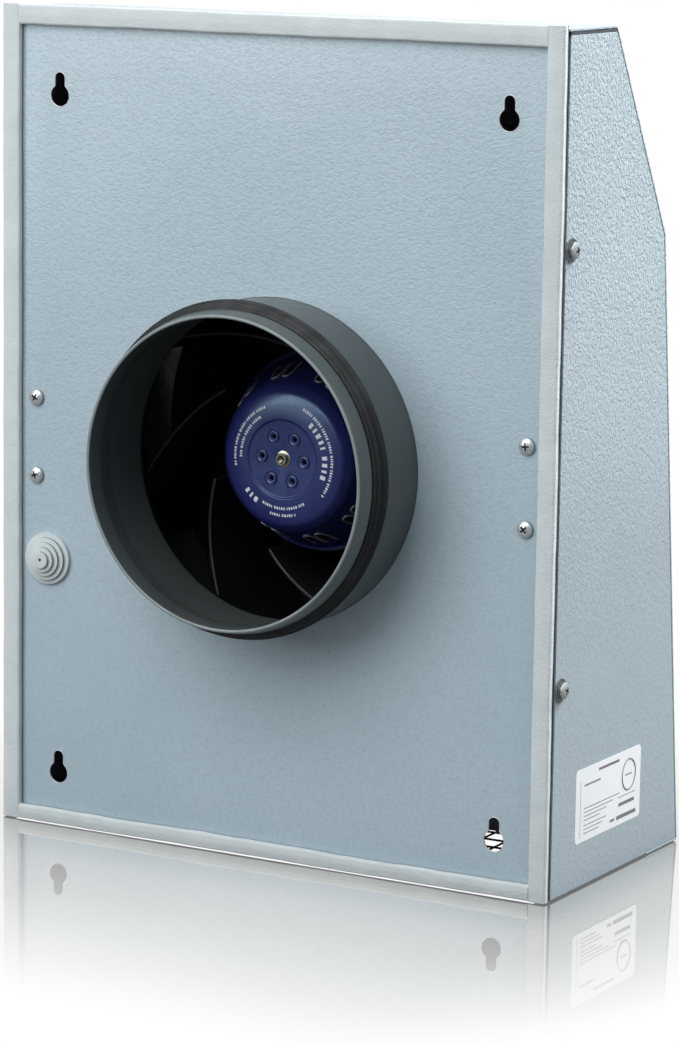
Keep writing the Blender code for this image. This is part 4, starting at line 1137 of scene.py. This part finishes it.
def make_shaft(mats):
    """A ground shaft: bevelled end with a centre hole, and a groove for its circlip."""
    tip, step, end, groove, bevel = 3.0 * MM, CAP_FACE + MM, 95.0 * MM, 87.3 * MM, 0.4 * MM
    profile = [(0.0, SHAFT_TIP + 1.2 * MM), (1.6 * MM, SHAFT_TIP + 0.4 * MM), (2.0 * MM, SHAFT_TIP),
               (tip - 0.3 * MM, SHAFT_TIP), (tip, SHAFT_TIP + 0.3 * MM), (tip, step),
               (SHAFT_R, step + 0.2 * MM), (SHAFT_R, groove), (SHAFT_R - bevel, groove),
               (SHAFT_R - bevel, groove + MM), (SHAFT_R, groove + MM), (SHAFT_R, end - bevel),
               (SHAFT_R - bevel, end), (0.0, end)]
    shaft = turned("ground_shaft", profile, mats["shaft"], sides=64, angle=25)
    shaft.data.materials.append(mats["centre"])
    for face in shaft.data.polygons:
        centre = face.center
        if hypot(centre.x, centre.z - AXIS_Z) < 1.95 * MM and centre.y < y_at(step):
            face.material_index = 1
    install(shaft, "rotor", "zinc", "rotor_shaft")


def flare(share, offset=0.0):
    """(radius, depth) on the front ring's bore from its throat (0) to its rim (1).

    A positive offset is a distance towards the blades, off the surface.
    """
    turn = pi / 2 * share
    wide, deep = WHEEL_R - EYE_R, RING_REAR - RING_FLARE
    radius, depth = EYE_R + wide * (1 - cos(turn)), RING_FLARE + deep * sin(turn)
    normal = Vector((-deep * cos(turn), wide * sin(turn))).normalized()
    return radius + normal.x * offset, depth + normal.y * offset


def make_front_ring(mats):
    """A flared sheet with a rounded lip at its eye."""
    steps, lip, outside = 22, 0.5 * MM, EYE_R + RING_T
    profile = [(EYE_R, RING_FACE + lip)] + [flare(k / steps) for k in range(steps + 1)]
    profile += [flare(k / steps, -RING_T) for k in range(steps, -1, -1)]
    profile += [(outside, RING_FACE + lip), (outside - lip, RING_FACE), (EYE_R + lip, RING_FACE)]
    ring = turned("flared_ring", profile, mats["black"], sides=192)
    install(ring, "rotor", "impeller_black", "impeller_front_ring")


def blade_turn(radius):
    """Angle of a blade's middle line at a radius: its lean eases from the hub to the rim."""
    turn, steps = 0.0, 40
    step = (radius - HUB_R) / steps
    for k in range(steps):
        here = HUB_R + step * (k + 0.5)
        lean = BLADE_LEAN[0] + (BLADE_LEAN[1] - BLADE_LEAN[0]) * (here - HUB_R) / (WHEEL_R - HUB_R)
        turn += tan(lean) / here * step
    return turn


def blade_front_edge():
    """(radius, depth) along a blade's front edge, from the hub, under the ring, to the tip."""
    meets, clear, steps, last = 0.23, 0.5 * MM, 12, 0.96
    start, corner = Vector((HUB_R + BLADE_T / 2 + 0.2 * MM, 30.0 * MM)), Vector(flare(meets, clear))
    edge = [start.lerp(corner, k / steps) for k in range(steps)]
    return edge + [flare(meets + (last - meets) * k / steps, clear) for k in range(steps + 1)]


def make_blade(number, mats):
    """A backward-curved blade with rounded edges."""
    phase = BLADE_PHASE + 2 * pi * (number - 1) / BLADES
    rear = DISC_DEPTH - DISC_T - 0.1 * MM
    middles = [round_axis(radius, phase + blade_turn(radius), depth) for radius, depth in blade_front_edge()]
    bm, stations = bmesh.new(), []
    for i, point in enumerate(middles):
        along = middles[min(i + 1, len(middles) - 1)] - middles[max(i - 1, 0)]
        side = Vector((-along.z, 0.0, along.x)).normalized() * BLADE_T / 2
        end = Vector((point.x, y_at(rear), point.z))
        corners = (point + side, point - side, end - side, end + side)
        stations.append([bm.verts.new(corner) for corner in corners])
    bridge(bm, stations)
    piece = soften(new_piece(f"curved_blade_{number}", bm, mats["black"]), 0.7 * MM, 3, 50)
    install(piece, "rotor", "impeller_black", f"impeller_blade_{number}")


def make_impeller(mats):
    inner, front, disc_face = CUP_R + 0.2 * MM, RIM_REAR + 0.2 * MM, DISC_DEPTH - DISC_T
    profile = [(inner, front), (HUB_R, front), (HUB_R, disc_face), (WHEEL_R, disc_face),
               (WHEEL_R, DISC_DEPTH), (inner, DISC_DEPTH)]
    profile = fillet(profile, mm(0.3, 0.6, 2.5, 0.8, 0.8, 0.3), 6)
    hub = turned("impeller_hub_and_disc", profile, mats["black"], sides=192)
    install(hub, "rotor", "impeller_black", "impeller_hub")
    for number in range(1, BLADES + 1):
        make_blade(number, mats)
    make_front_ring(mats)


# Carried-over CAD nodes

def dress_nodes(mats):
    """Give the inner CAD parts their finishes, and round the edges of the moulded and folded ones."""
    finishes = {
        "galvanised": "motor_bracket capacitor_clip",
        "zinc": "stator_flange shaft_circlip lid_screw_1 lid_screw_2 "
                "motor_screw_1 motor_screw_2 motor_screw_3 motor_screw_4",
        "bearing": "bearing_outer_front bearing_outer_rear bearing_inner_front bearing_inner_rear",
        "iron": "stator_core rotor_cage",
        "copper": "winding_front winding_rear",
        "box": "terminal_box terminal_box_lid",
        "pale": "terminal_block run_capacitor",
        "cable": "motor_lead capacitor_lead",
    }
    for finish, names in finishes.items():
        for name in names.split():
            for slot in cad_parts[name].material_slots:
                slot.material = mats[finish]
    for name in ("terminal_box", "terminal_box_lid", "terminal_block", "motor_bracket"):
        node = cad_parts[name]
        node.modifiers.new("weld", "WELD").merge_threshold = 0.00001
        soften(node, 0.3 * MM)


def main():
    for make in (make_camera, make_world, make_lights, make_floor):
        make()
    mats = make_materials()
    for make in (make_back_plate, make_cover, make_foam, make_spigot, make_seal, make_screws, make_grommet,
                 make_label, make_guard, make_rotor_cup, make_rotor_marks, make_shaft, make_impeller,
                 dress_nodes):
        make(mats)


main()
